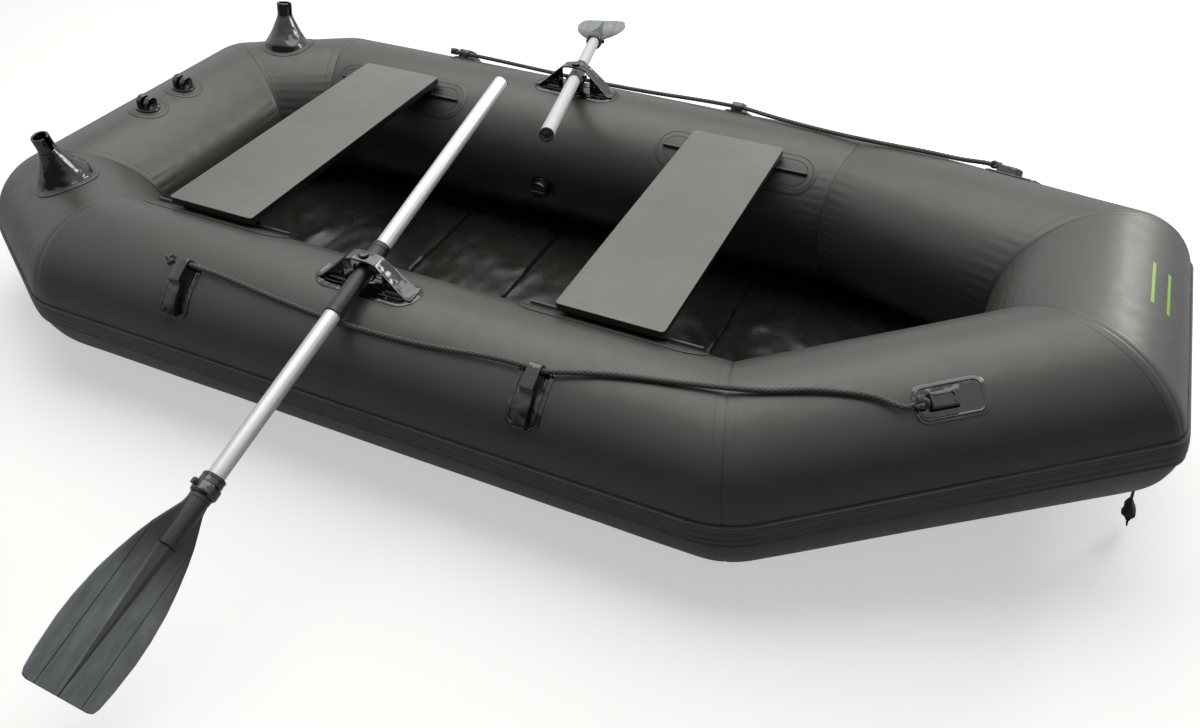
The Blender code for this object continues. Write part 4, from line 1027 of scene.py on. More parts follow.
    def swell(self, tube: HullTube, at: Vector, angle: float) -> float:
        """How far the skin stands off the true round: the seam's groove, pleats and slow waves."""
        away = min((at - tube.ring_point(end, 0.5, angle)).length for end in (0, 1))
        groove = self.groove * math.exp(-((away / self.groove_reach) ** 2))
        inner = max(0.0, -math.sin(angle)) ** 1.5
        phase = angle * tube.radius / self.pleat_pitch * math.tau + 2.4 * noise.noise(at * 9)
        pleats = self.pleat_depth * inner * math.exp(-((away / self.pleat_reach) ** 2)) * math.sin(phase)
        pleats *= 1 - math.exp(-((away / self.pleat_start) ** 2))
        slow = self.wave * noise.noise(at * 5.3) + self.ripple * noise.noise(at * 17)
        return pleats + slow - groove

    def inflate(self, tube: HullTube) -> bpy.types.Object:
        """Models one tube's skin: a grid rolled round the tube, closed at its mitres.

        Args:
            tube: The tube.

        Returns:
            The skin.
        """
        rings = self.stations(tube)
        skin = Bench.grid(f"{tube.name}_skin", self.girth_sides, len(rings) - 1)
        places, welds = [], []
        for end, amount in rings:
            for side in range(self.girth_sides + 1):
                angle = math.tau * side / self.girth_sides
                if end is None:
                    at = tube.straight_point(amount, angle)
                else:
                    at = tube.ring_point(end, amount, angle)
                foot = tube.corners[0] + tube.along * (at - tube.corners[0]).dot(tube.along)
                welds.append((self.weld_distance(tube, at, angle), side / self.girth_sides))
                seam = side % self.girth_sides / self.girth_sides * math.tau
                places.append(at + (at - foot).normalized() * self.swell(tube, at, seam))
        finish = BOW_VINYL if tube.name == "bow_tube" else HULL_VINYL
        made = skin.laid(places, welds).closed().smoothed(50).fitted(finish, "hull", tube.name)
        return made

    def strake_section(self) -> list[tuple[float, float]]:
        """The angle and height of each point of the strake's section."""
        span = self.strake_to - self.strake_from
        outer = []
        for rib in range(self.strake_ribs):
            for share, raised in self.rib_shares:
                angle = self.strake_from + span * (rib + share) / self.strake_ribs
                outer.append((angle, self.strake_base + raised * self.strake_rib))
        outer.append((self.strake_to, self.strake_base))
        inner = [(self.strake_to - span * step / 6, 0.0) for step in range(7)]
        return outer + inner

    def strake_ring(
        self, tube: HullTube, section: Sequence[tuple[float, float]], end: int, bend: float
    ) -> list[Vector]:
        """The strake's section at a bend near one end of a tube."""
        return [tube.ring_point(end, bend, angle, SEAM_GAP + height) for angle, height in section]

    def band(self) -> bpy.types.Object:
        """Models the ribbed strake as one grid, closed round its section and round the boat."""
        section = self.strake_section()
        rings = []
        for tube in self.tubes.values():
            bends = [0.5 * step / 6 for step in range(6, 0, -1)]
            rings += [self.strake_ring(tube, section, 0, bend) for bend in bends]
            count = max(2, round(tube.length / 0.08))
            for step in range(count + 1):
                rings.append([tube.straight_point(step / count, angle, SEAM_GAP + height) for angle, height in section])
            rings += [self.strake_ring(tube, section, 1, bend) for bend in reversed(bends[1:])]
        rings.append(rings[0])
        strake = Bench.grid("rubbing_strake_skin", len(section), len(rings) - 1)
        strake.laid([point for ring in rings for point in [*ring, ring[0]]])
        return strake.closed().smoothed(40).fitted(STRAKE_RUBBER, "hull", "rubbing_strake")

    def bottom(self) -> bpy.types.Object:
        """Models the bottom sheet, wrinkled where no slat holds it down.

        Returns:
            The sheet.
        """
        fold_x = self.kink_x + self.radius * math.tan(self.bow_tilt / 2)
        front_x = self.bow_x + (self.radius + SEAM_GAP) * math.sin(self.bow_tilt) + self.sheet_lap
        outline = [
            (self.stern_x - self.sheet_lap, self.stern_half_width + self.sheet_lap / 2),
            (self.quarter_x - self.sheet_lap / 2, self.side_half_width + self.sheet_lap),
            (fold_x, self.side_half_width + self.sheet_lap),
            (front_x, self.bow_half_width + self.sheet_lap / 2),
        ]
        sheet = Bench.grid("bottom_sheet_skin", 84, 170)

        def laid(at: Vector) -> Vector:
            """A grid point on the sheet."""
            x = outline[0][0] + (at.y + 0.5) * (front_x - outline[0][0])
            half = next(
                low[1] + (high[1] - low[1]) * (x - low[0]) / (high[0] - low[0])
                for low, high in zip(outline, outline[1:])
                if x <= high[0] + MERGE_DISTANCE
            )
            y = 2 * at.x * half
            rise = max(0.0, x - fold_x) * math.tan(self.bow_tilt)
            free = max(0.0, 1 - (abs(y) / 0.30) ** 6) if x < -0.48 or x > 0.51 else 0.0
            free *= min(1.0, max(abs(x - 0.0185) - 0.4985, 0.0) / 0.03)
            ends = min(1.0, max(0.0, x + 0.74) / 0.08) * min(1.0, max(0.0, 1.02 - x) / 0.08)
            fold = 1 - abs(noise.noise(Vector((x * 9, y * 6 + 3, 0.4)))) * 2.4
            crease = 1 - abs(noise.noise(Vector((x * 21 + y * 9, y * 15, 2.2)))) * 3
            lift = free * ends * (self.fold_lift * max(0.0, fold) + self.crease_lift * max(0.0, crease) + 0.002)
            return Vector((x, y, rise + self.sheet + lift))

        sheet.reshape(laid)
        sheet.modified("SOLIDIFY", thickness=self.sheet, offset=-1.0)
        sheet.reshape(lambda at: Vector((at.x, at.y, max(0.0, at.z))))
        made = sheet.closed().smoothed(60).fitted(SHEET_VINYL, "hull", "bottom_sheet")
        return made

    def build(self) -> None:
        """Models the whole hull."""
        for tube in self.tubes.values():
            self.inflate(tube)
        self.band()
        self.bottom()


@dataclass
class Floor:
    """The slats across the cockpit, in glossy pockets."""

    count: int = 4
    pitch: float = 0.2434
    gap: float = 0.004
    half_width: float = 0.290
    thickness: float = 0.009
    first_x: float = -0.473
    corner: float = 0.012
    base: float = 0.0015
    side_share: float = 0.45
    rim: Pairs = ((0.0012, 0.30), (0.003, 0.18), (0.008, 0.07))
    bend_step: float = 0.014

    def slat(self) -> Bench:
        """Models one slat, soft at its edges."""
        slat = Bench.rounded("slat", self.pitch - self.gap, 2 * self.half_width, self.corner)
        slat.raised(self.thickness * self.side_share, self.rim, self.thickness).closed()
        slat.cut(self.bend_step, self.half_width).cut(self.bend_step, self.pitch / 2, (1, 0, 0))
        return slat.closed()

    def build(self) -> None:
        """Models the slats, each with its own wrinkles."""
        master = self.slat()
        for index in range(self.count):
            slat = master.copied(f"floor_slat_{index + 1}_skin")
            centre = Vector((self.first_x + self.pitch * (index + 0.5), 0, self.base))

            def pocket(at: Vector) -> Vector:
                """The slat's point with the pocket's slack over it."""
                place = at + centre
                if at.z > self.thickness * 0.9:
                    fold = 1 - 2.6 * abs(noise.noise(Vector((place.x * 26, place.y * 11, 1.7))))
                    place.z += 0.0030 * max(0.0, fold) + 0.0012 * noise.noise(place * 24)
                return place

            slat.reshape(pocket).smoothed(40).fitted(SLAT_VINYL, "hull", f"floor_slat_{index + 1}")
        Bench.discard(master)


@dataclass
class Seats:
    """Two board seats, and the welded rails that they slide on."""

    hull: Hull
    length: float = 0.680
    depth: float = 0.200
    thickness: float = 0.015
    top_z: float = 0.324
    seat_x: float = 0.4205
    corner: float = 0.008
    edge: float = 0.0012
    rail_angle: float = math.radians(-40)
    patch_length: float = 0.360
    patch_width: float = 0.095
    patch_thickness: float = 0.0015
    rail_length: float = 0.322
    web: float = 0.002
    bead_radius: float = 0.003
    bead_height: float = 0.006

    def board(self) -> Bench:
        """Models the board, with an eased edge all round and darker edge faces."""
        board = Bench.rounded("board", self.depth, self.length, self.corner)
        board.raised(self.thickness).closed()
        board.sharp(1.2).bevel(self.edge, 3).cleared()
        board.made.data.materials.append(BOARD_FACE.material())
        board.made.data.materials.append(BOARD_EDGE.material())
        for polygon in board.made.data.polygons:
            polygon.material_index = 0 if abs(polygon.normal.z) > 0.92 else 1
        return board.smoothed(25)

    def rail(self) -> Bench:
        """Models one rail flat: the welded patch with its outlines, the web and the bead."""
        patch = Bench.rounded("rail", self.patch_length, self.patch_width, self.patch_width / 2 - 0.0001, 64)
        patch.welded(self.patch_thickness, (0.0012, 0.0004), 0.006).inset(0.010).scored()
        patch.closed().cut(PATCH_BEND * self.hull.radius, self.patch_width / 2).closed()
        web = Bench.block(
            "web", (self.rail_length, self.web, self.bead_height), (0, 0, self.patch_thickness + self.bead_height / 2)
        )
        reach = self.rail_length / 2
        nose = self.bead_radius * 0.4
        profile = (
            (self.bead_radius - nose, -reach),
            (self.bead_radius, -reach + nose),
            (self.bead_radius, reach - nose),
            (self.bead_radius - nose, reach),
        )
        bead = Bench.lathed("bead", profile, 20)
        bead.placed(moved(z=self.patch_thickness + self.bead_height) @ ALONG_SHAFT)
        return patch.joined(web, bead)

    def build(self) -> None:
        """Models both seats and the four rails."""
        board, rail = self.board(), self.rail()
        for place, way in (("forward", 1), ("aft", -1)):
            seat = board.copied(f"{place}_seat_board")
            seat.placed(moved(way * self.seat_x, 0, self.top_z - self.thickness))
            seat.fitted(BOARD_FACE, f"{place}_seat", f"{place}_seat")
            for side in Side:
                tube = self.hull.tubes[f"{side.label}_side_tube"]
                distance = abs(way * self.seat_x - tube.corners[0].x)
                name = f"{side.label}_{place}_seat_rail"
                tube.dress(rail.copied(f"{name}_skin"), distance, self.rail_angle, PATCH_VINYL, name)
        Bench.discard(board, rail)


@dataclass
class Oarlock:
    """An oarlock on the tube's crown: a long welded flange and an arch over the oar."""

    hull: Hull
    pivot_z: float = 0.352
    base_length: float = 0.210
    base_width: float = 0.070
    base_thickness: float = 0.0025
    arch_width: float = 0.028
    arch_thickness: float = 0.004
    arch_foot: float = 0.097
    arch_apex: float = 0.016
    arch_shoulder: float = 0.029
    arch_rise: float = 0.024
    shoulder_drop: float = 0.0035
    arch_toe: float = 0.012
    leg_flare: float = 1.36
    wall_width: float = 0.022
    wall_inset: float = 0.010
    boss_radius: float = 0.008
    boss_thickness: float = 0.0012
    pin_bore: float = 0.0042
    flange_side: float = 0.0008
    flange_rim: Pairs = (
        (0.0014, 0.0007),
        (0.004, 0.0),
        (0.0012, 0.0010),
        (0.0018, 0.0),
        (0.0012, -0.0010),
        (0.006, 0.0),
        (0.0010, 0.0009),
        (0.0016, 0.0),
        (0.0010, -0.0009),
    )

    def flange(self) -> Bench:
        """Models the flange flat: a soft outer lip, a step and a raised inner line."""
        flange = Bench.rounded("flange", self.base_length, self.base_width, self.base_width / 2 - 0.0001, 64)
        flange.raised(self.flange_side, self.flange_rim).closed()
        return flange.cut(PATCH_BEND * self.hull.radius, self.base_width / 2).closed()

    def strap_section(self) -> list[tuple[float, float]]:
        """Half of the arch's under side, X and height over the crown, from the apex to the toe."""
        apex = self.pivot_z + self.arch_rise - self.hull.crown_z
        toe = self.arch_foot - self.arch_toe
        foot = SEAM_GAP + self.base_thickness
        return [
            (self.arch_apex, apex), (self.arch_shoulder, apex - self.shoulder_drop), (toe, foot), (self.arch_foot, foot)
        ]

    def strap(self) -> Bench:
        """Models the arch as a bar that is extruded over its points, then dished and eased."""
        right = self.strap_section()
        line = [(-x, z) for x, z in reversed(right)] + right
        thick = self.arch_thickness
        first = line[0]
        strap = Bench.block("arch", (0.0004, self.arch_width, thick / 2), (first[0] + 0.0002, 0, first[1] + thick / 4))
        last = Vector((first[0] + 0.0004, 0, first[1]))
        height = thick / 2
        for x, z in line[1:]:
            strap.pick(lambda face: face.normal.x > 0.2 and face.calc_center_median().x > last.x - 0.003)
            full = thick if abs(x) < self.arch_foot - self.arch_toe - 0.001 else thick / 2
            strap.extrude((x - last.x, 0, z - last.z + (full - height) / 2))
            strap.resize(z=full / height)
            last, height = Vector((x, 0, z)), full
        strap.closed()
        strap.pick(lambda vertex: abs(vertex.co.x) > self.arch_shoulder + 0.001, Part.VERTS).taper(1, self.leg_flare)

        def leg_top(face: bmesh.types.BMFace) -> bool:
            """Whether a face is one of the wide ones over a leg."""
            outside = abs(face.calc_center_median().x) > self.arch_apex
            return face.normal.z > 0.3 and outside and face.calc_area() > 0.0002

        strap.pick(leg_top).inset(0.0042, -0.0014, each=True)
        strap.sharp(0.5).bevel(0.0007, 2)
        return strap.closed()

    def wall(self) -> Bench:
        """Models the wedge under one leg: a low block with its inner end raised, sunk sides and two rivets."""
        start, end = self.arch_shoulder + self.wall_inset, self.arch_foot - self.arch_toe - 0.002
        apex = self.pivot_z + self.arch_rise - self.hull.crown_z - self.shoulder_drop
        slope = (apex - self.base_thickness) / (self.arch_foot - self.arch_toe - self.arch_shoulder)
        low, top = 0.001, apex - slope * self.wall_inset
        wall = Bench.block("wall", (end - start, self.wall_width, 0.003), ((start + end) / 2, 0, low + 0.0015))
        wall.pick(
            lambda vertex: vertex.co.z > low + 0.002 and vertex.co.x < start + 0.001, Part.VERTS
        ).slide(z=top - low - 0.003)
        wall.pick(lambda face: abs(face.normal.y) > 0.9).inset(0.0028, -0.0022, each=True)
        wall.closed()
        rivets = []
        for way in (1, -1):
            rivet = Bench.lathed("rivet", [(0.0042, 0.0), (0.0042, 0.0016), (0.0030, 0.0028), (0.0012, 0.0032)], 20)
            rivet.placed(
                moved(start + 0.010, way * (self.wall_width / 2 - 0.0026), top * 0.36) @ turned(-way * math.pi / 2, "X")
            )
            rivets.append(rivet)
        return wall.joined(*rivets)

    def build(self) -> None:
        """Models both oarlocks."""
        flange, strap, wall = self.flange(), self.strap(), self.wall()
        apex = self.pivot_z + self.arch_rise
        boss = Bench.lathed(
            "boss",
            [
                (self.pin_bore, apex - self.boss_thickness),
                (self.boss_radius, apex - self.boss_thickness),
                (self.boss_radius, apex + self.arch_thickness + 0.00005),
                (self.pin_bore, apex + self.arch_thickness + 0.00005),
            ],
            32,
            ring=True,
        )
        for side in Side:
            tube = self.hull.tubes[f"{side.label}_side_tube"]
            distance = abs(tube.corners[0].x)
            base = tube.wrap(flange.copied(f"{side.label}_oarlock_skin"), distance, 0.0)
            stand = Vector((0, side.value * self.hull.side_half_width, 0))
            crown = Matrix.Translation(stand + self.hull.crown_z * UP)
            arch = strap.copied("arch_part").placed(crown)
            ring = boss.copied("boss_part").placed(Matrix.Translation(stand))
            walls = [wall.copied("wall_part").placed(crown @ turned(angle, "Z")) for angle in (0.0, math.pi)]
            base.joined(arch, ring, *walls).smoothed(30).fitted(BLACK_GLOSS, "hull", f"{side.label}_oarlock")
        Bench.discard(flange, strap, boss, wall)


@dataclass(frozen=True)
class OarPose:
    """An oar at rest: swing towards the stern, dip of the tip and roll of the blade."""

    side: Side
    swing: float
    dip: float
    roll: float


@dataclass
class Oar:
    """One oar with its swivel, measured outboard from the pivot along the shaft."""

    hull: Hull
    pose: OarPose
    pivot_z: float = 0.352
    arch_rise: float = 0.024
    arch_thickness: float = 0.004
    pin_radius: float = 0.004
    cap_radius: float = 0.009
    cap_height: float = 0.005
    yoke_bore: float = 0.0195
    yoke_thickness: float = 0.003
    yoke_width: float = 0.014
    yoke_drop: float = 0.009
    trunnion_radius: float = 0.003
    rivet_radius: float = 0.005
    rivet_height: float = 0.002
    shaft_radius: float = 0.014
    shaft_wall: float = 0.0015
    handle_reach: float = 0.520
    shaft_reach: float = 0.545
    sleeve_radius: float = 0.0165
    sleeve_inboard: float = 0.055
    sleeve_outboard: float = 0.106
    cap_flange: float = 0.003
    cap_length: float = 0.022
    collar_from: float = 0.437
    collar_length: float = 0.035
    collar_radius: float = 0.0190
    collar_swell: float = 0.0215
    lug_width: float = 0.010
    lug_reach: float = 0.027
    blade_root: float = 0.4725
    blade_tip: float = 0.791
    blade_half_width: float = 0.068
    blade_thickness: float = 0.005
    socket_radius: float = 0.0175
    socket_end: float = 0.558
    keel_height: float = 0.0105
    keel_half_width: float = 0.0145
    keel_end: float = 0.780
    blade_shares: Pairs = (
        (0.000, 0.25),
        (0.065, 0.29),
        (0.133, 0.43),
        (0.210, 0.58),
        (0.290, 0.70),
        (0.400, 0.83),
        (0.510, 0.93),
        (0.640, 0.99),
        (0.745, 1.00),
        (0.880, 0.955),
        (0.965, 0.90),
        (0.993, 0.84),
        (1.000, 0.72),
    )

    def __post_init__(self) -> None:
        """Lays the swivel, the cradle and the loom on their joints."""
        side = self.pose.side.value
        heading = math.atan2(side * math.cos(self.pose.swing), -math.sin(self.pose.swing))
        stand = moved(0, side * self.hull.side_half_width, self.pivot_z)
        self.swivel = stand @ turned(heading, "Z")
        self.cradle = self.swivel @ turned(self.pose.dip, "Y")
        self.loom = self.cradle @ turned(self.pose.roll, "X")
        self.label = self.pose.side.label

    def dress(self, piece: Bench, place: Matrix, finish: Finish, body: str, part: str) -> None:
        """Puts a piece in its place and fits it to one of this oar's bodies.

        Args:
            piece: The piece.
            place: The frame of its joint.
            finish: Its finish.
            body: The body's name without the side.
            part: The CAD node's name without the side.
        """
        name = f"{self.label}_{part}"
        piece.placed(place).made.name = f"{name}_skin"
        piece.fitted(finish, f"{self.label}_{body}", name)

    def yoke(self) -> None:
        """Models the swivel yoke: a saddle over the sleeve, its cheeks and its pin."""
        outer = self.yoke_bore + self.yoke_thickness
        saddle = Bench.block(
            "saddle",
            (self.yoke_width, self.yoke_thickness, 0.0004),
            (0, self.yoke_bore + self.yoke_thickness / 2, -self.yoke_drop + 0.0002),
        )
        saddle.pick(lambda face: face.normal.z > 0.9)
        saddle.extrude((0, 0, self.yoke_drop - 0.0004))
        bpy.ops.mesh.spin(steps=24, angle=math.pi, center=(0, 0, 0), axis=(1, 0, 0), use_auto_merge=False)
        saddle.extrude((0, 0, -self.yoke_drop)).closed()
        saddle.sharp(1.0).bevel(0.0006, 2).closed()
        top = self.arch_rise + self.arch_thickness + self.cap_height / 2
        foot = outer - self.yoke_thickness / 2
        pin = Bench.lathed(
            "pin", [(self.pin_radius, foot), (self.pin_radius, top - 0.0008), (self.pin_radius - 0.0006, top)], 32
        )
        self.dress(saddle.joined(pin).smoothed(30), self.swivel, BLACK_GLOSS, "swivel", "swivel_yoke")

    def pin_cap(self) -> None:
        """Models the cap over the arch, crowned, with a ring line on top."""
        base = self.arch_rise + self.arch_thickness + SEAM_GAP
        top = base + self.cap_height
        recess = self.arch_rise + self.arch_thickness + self.cap_height / 2 + SEAM_GAP
        bore = self.pin_radius + RUNNING_GAP
        rim = self.cap_radius
        profile = [(bore, recess), (bore, base), (rim - 0.0003, base), (rim, base + 0.0004), (rim, top - 0.0016)]
        profile += [(rim - 0.0005, top - 0.0007), (rim - 0.0016, top - 0.0002), (rim - 0.003, top)]
        profile += [(rim - 0.0034, top - 0.0004), (rim - 0.0038, top), (0.0015, top)]
        cap = Bench.lathed("pin_cap", profile, 40).smoothed(35)
        self.dress(cap, self.swivel, BLACK_GLOSS, "swivel", "swivel_pin_cap")

    def sleeve(self) -> None:
        """Models the sleeve: end rings, a stepped inboard collar and a riveted trunnion each side."""
        bore = self.shaft_radius + RUNNING_GAP
        low, high, full = -self.sleeve_inboard, self.sleeve_outboard, self.sleeve_radius
        slim = full - 0.0008
        profile = [(bore, low), (full - 0.0006, low), (full, low + 0.0006), (full, low + 0.010), (slim, low + 0.011)]
        profile += [(slim, low + 0.016), (full, low + 0.017), (full, low + 0.036), (slim, low + 0.037)]
        profile += [
            (slim, high - 0.012), (full, high - 0.011), (full, high - 0.0006), (full - 0.0006, high), (bore, high)
        ]
        sleeve = Bench.lathed("sleeve", profile, 48, ring=True).placed(ALONG_SHAFT)
        outer = self.yoke_bore + self.yoke_thickness + SEAM_GAP
        stub_profile = [
            (self.trunnion_radius, (bore + full) / 2), (self.trunnion_radius, outer), (self.rivet_radius, outer)
        ]
        stub_profile += [
            (self.rivet_radius, outer + 0.0008),
            (self.rivet_radius - 0.0008, outer + 0.0016),
            (0.0022, outer + self.rivet_height),
        ]
        stub = Bench.lathed("trunnion", stub_profile, 24)
        other = stub.copied("trunnion_other")
        stub.placed(turned(math.pi / 2, "X"))
        other.placed(turned(-math.pi / 2, "X"))
        self.dress(sleeve.joined(stub, other).smoothed(30), self.cradle, SLEEVE_SATIN, "sleeve", "oar_sleeve")

    def shaft(self) -> None:
        """Models the drawn tube, with eased rims."""
        bore, rim = self.shaft_radius - self.shaft_wall, self.shaft_radius
        low, high = -self.handle_reach + self.cap_flange + SEAM_GAP, self.shaft_reach
        profile = [
            (bore, low),
            (rim - 0.0004, low),
            (rim, low + 0.0004),
            (rim, 0.0),
            (rim, high - 0.0004),
            (rim - 0.0004, high),
            (bore, high),
        ]
        shaft = Bench.lathed("shaft", profile, 56, ring=True).unwrap(around_z, turns=True).smoothed(35)
        self.dress(shaft, self.loom @ ALONG_SHAFT, ALUMINIUM, "oar", "oar_shaft")

    def end_cap(self) -> None:
        """Models the plug in the handle end, with its rounded flange."""
        plug = self.shaft_radius - self.shaft_wall - RUNNING_GAP
        rim, low = self.shaft_radius, -self.handle_reach
        profile = [
            (0.004, low + 0.0003), (0.006, low), (rim - 0.0022, low), (rim - 0.0008, low + 0.0005), (rim, low + 0.0016)
        ]
        profile += [(rim, low + self.cap_flange), (plug, low + self.cap_flange), (plug, low + self.cap_length)]
        cap = Bench.lathed("end_cap", profile, 48).smoothed(35)
        self.dress(cap, self.loom @ ALONG_SHAFT, BLACK_GLOSS, "oar", "oar_end_cap")

    def collar(self) -> None:
        """Models the locking collar, grooved and swollen, with its button lug."""
        bore = self.shaft_radius + RUNNING_GAP
        start, end = self.collar_from, self.collar_from + self.collar_length - SEAM_GAP
        swell = self.collar_from + self.collar_length / 2
        small, big = self.collar_radius, self.collar_swell
        profile = [(bore, start), (small - 0.0010, start), (small, start + 0.0010), (small, start + 0.005)]
        profile += [(small - 0.0009, start + 0.0056), (small - 0.0009, start + 0.0072), (small, start + 0.0078)]
        profile += [
            (small, swell - 0.003),
            (big - 0.0004, swell - 0.0004),
            (big, swell + 0.001),
            (big, end - 0.004),
            (small, end),
            (bore, end),
        ]
        ring = Bench.lathed("collar", profile, 48, ring=True).placed(ALONG_SHAFT)
        root = small - 0.001
        lug = Bench.rounded("lug", self.lug_width, self.lug_width, 0.002, 24)
        lug.raised(self.lug_reach - root - 0.0008, ((0.0008, 0.0008), (0.0012, -0.0006))).closed()
        lug.placed(moved(swell + self.lug_width / 2, 0, 0) @ turned(math.pi / 2, "X") @ moved(z=root))
        self.dress(ring.joined(lug).smoothed(30), self.loom, BLACK_GLOSS, "oar", "oar_collar")

    def half_width(self, along: float) -> float:
        """The blade's half width at a share of its length."""
        for (low, wide), (high, wider) in zip(self.blade_shares, self.blade_shares[1:]):
            if along <= high:
                share = (along - low) / (high - low)
                return self.blade_half_width * (wide + (wider - wide) * share)
        return self.blade_half_width * self.blade_shares[-1][1]

    def blade_face(self, x: float, across: float) -> float:
        """How thick half of the blade is at a place: thin at the edge, with the keel's ridge."""
        along = (x - self.blade_root) / (self.blade_tip - self.blade_root)
        y = across * self.half_width(along)
        edge = min(1.0, (1 - abs(across)) / 0.10)
        base = self.blade_thickness / 2 * (0.55 + 0.45 * math.sqrt(max(0.0, edge)))
        rest = min(1.0, max(0.0, (self.keel_end - x) / (self.keel_end - self.socket_end + self.socket_radius)))
        keel = self.keel_height * rest * max(0.0, 1 - abs(y) / (self.keel_half_width * rest + 0.002))
        return base + keel * min(1.0, rest / 0.06)

    def blade(self) -> None:
        """Models the blade: a grid thickened to a plate with a tapered keel on each face, and the socket."""
        rows, columns = 96, 96
        length = self.blade_tip - self.blade_root
        plate = Bench.grid("plate", columns, rows)

        def spread(at: Vector) -> Vector:
            """A grid point on the blade's middle plane, rows closer at the tip."""
            share = at.y + 0.5
            along = 1 - (1 - share) ** 1.35
            across = math.sin(at.x * math.pi)
            return Vector((self.blade_root + length * along, across * self.half_width(along), 0))

        plate.reshape(spread).modified("SOLIDIFY", thickness=0.001, offset=0.0)

        def thicken(at: Vector) -> Vector:
            """The same point on the blade's face."""
            along = (at.x - self.blade_root) / length
            across = max(-1.0, min(1.0, at.y / self.half_width(along)))
            return Vector((at.x, at.y, math.copysign(self.blade_face(at.x, across), at.z)))

        plate.reshape(thicken)
        taper = self.socket_end - self.socket_radius / 2
        bore, rim = self.shaft_radius + RUNNING_GAP, self.socket_radius
        bore_end = self.shaft_reach + SEAM_GAP
        profile = [
            (bore, bore_end), (bore, self.blade_root), (rim - 0.0008, self.blade_root), (rim, self.blade_root + 0.0008)
        ]
        profile += [
            (rim, self.blade_root + 0.006),
            (rim - 0.0007, self.blade_root + 0.0068),
            (rim - 0.0007, taper),
            (rim - 0.0012, self.socket_end - 0.001),
        ]
        profile += [(rim - 0.0022, self.socket_end), (rim - 0.0042, self.socket_end), (rim - 0.0050, bore_end + 0.003)]
        socket = Bench.lathed("socket", profile, 48).placed(ALONG_SHAFT)
        plate.joined(socket).unwrap(lambda at: (at.y, at.x)).smoothed(24)
        self.dress(plate, self.loom, BLADE_SATIN, "oar", "oar_blade")

    def build(self) -> None:
        """Models the whole oar with its swivel."""
        for step in (self.yoke, self.pin_cap, self.sleeve, self.shaft, self.end_cap, self.collar, self.blade):
            step()


@dataclass
class RodHolders:
    """Two flared rod holders on welded round patches, on the quarter tubes."""

    hull: Hull
    share: float = 0.583
    angle: float = math.radians(6)
    lean: float = math.radians(11)
    patch_radius: float = 0.066
    patch_thickness: float = 0.0015
    base_radius: float = 0.052
    waist_radius: float = 0.019
    top_radius: float = 0.0175
    height: float = 0.096
    collar: float = 0.032
    bore: float = 0.0130
    bore_depth: float = 0.080
    skirt: float = 0.017
    slot: float = 0.004
    flare: Pairs = ((0.03, 0.985), (0.08, 0.93), (0.20, 0.78), (0.40, 0.56), (0.60, 0.36), (0.80, 0.17), (0.92, 0.06))

    def patch(self) -> Bench:
        """Models a round welded patch, flat, with a pressed line inside its rim."""
        return welded_disc("holder_patch", self.patch_radius, self.patch_thickness, self.hull.radius)

    def cone(self) -> Bench:
        """Models the holder about its own axis: skirt, flare with flutes, collar, split and bore."""
        neck = self.height - self.collar
        spread = self.base_radius - self.waist_radius
        profile = [(self.base_radius, -self.skirt), (self.base_radius, 0.0)]
        for up_share, out_share in self.flare:
            profile.append((self.waist_radius + spread * out_share, neck * up_share))
        profile += [
            (self.waist_radius, neck - 0.001), (self.waist_radius + 0.0002, neck), (self.top_radius, neck + 0.003)
        ]
        profile += [
            (self.top_radius, self.height - 0.001),
            (self.top_radius - 0.0008, self.height),
            (self.bore + 0.0006, self.height),
        ]
        profile += [(self.bore, self.height - 0.0008), (self.bore, self.height - self.bore_depth)]
        cone = Bench.lathed("holder", profile, 96)

        def fluted(at: Vector) -> Vector:
            """A point of the flare with the shallow panels that stiffen it."""
            radius = math.hypot(at.x, at.y)
            if not 0.0 < at.z < neck or radius < self.waist_radius - 0.002:
                return at
            turn = math.atan2(at.y, at.x)
            web = max(0.0, math.cos(4 * turn)) ** 10
            deep = 0.0012 * math.sin(math.pi * min(1.0, at.z / neck)) * (1 - web)
            factor = (radius - deep) / radius
            return Vector((at.x * factor, at.y * factor, at.z))

        cone.reshape(fluted)
        reach = self.top_radius + 0.01
        middle = (0, reach / 2 + 0.004, neck + 0.003 + self.collar / 2)
        return cone.minus(Bench.block("split", (2 * self.slot, reach, self.collar), middle))

    def build(self) -> None:
        """Models both holders, their feet on the patches."""
        patch, cone = self.patch(), self.cone()
        for side in Side:
            tube = self.hull.tubes[f"{side.label}_quarter_tube"]
            share = 1 - self.share if side is Side.PORT else self.share
            distance = tube.length * share
            name = f"{side.label}_rod_holder"
            tube.dress(patch.copied(f"{name}_patch_skin"), distance, self.angle, PATCH_VINYL, f"{name}_patch")
            foot = 2 * SEAM_GAP + self.patch_thickness
            here = tube.wall_point(distance, self.angle, foot)
            axis = math.cos(self.lean) * UP + math.sin(self.lean) * Vector((0, side.value, 0))
            x_axis = Vector((1, 0, 0)).cross(axis).normalized()
            frame = axes_of(x_axis, axis.cross(x_axis), axis)
            holder = cone.copied(f"{name}_skin").placed(Matrix.Translation(here) @ frame)
            start, way, least = tube.corners[0], tube.along, tube.radius + foot

            def seated(at: Vector) -> Vector:
                """A point of the foot lifted to the patch."""
                centre = start + way * (at - start).dot(way)
                off = at - centre
                if off.length >= least or (at - here).dot(axis) > 0.012:
                    return at
                return centre + off.normalized() * least

            holder.reshape(seated).smoothed(30).fitted(BLACK_GLOSS, "hull", name)
        Bench.discard(patch, cone)


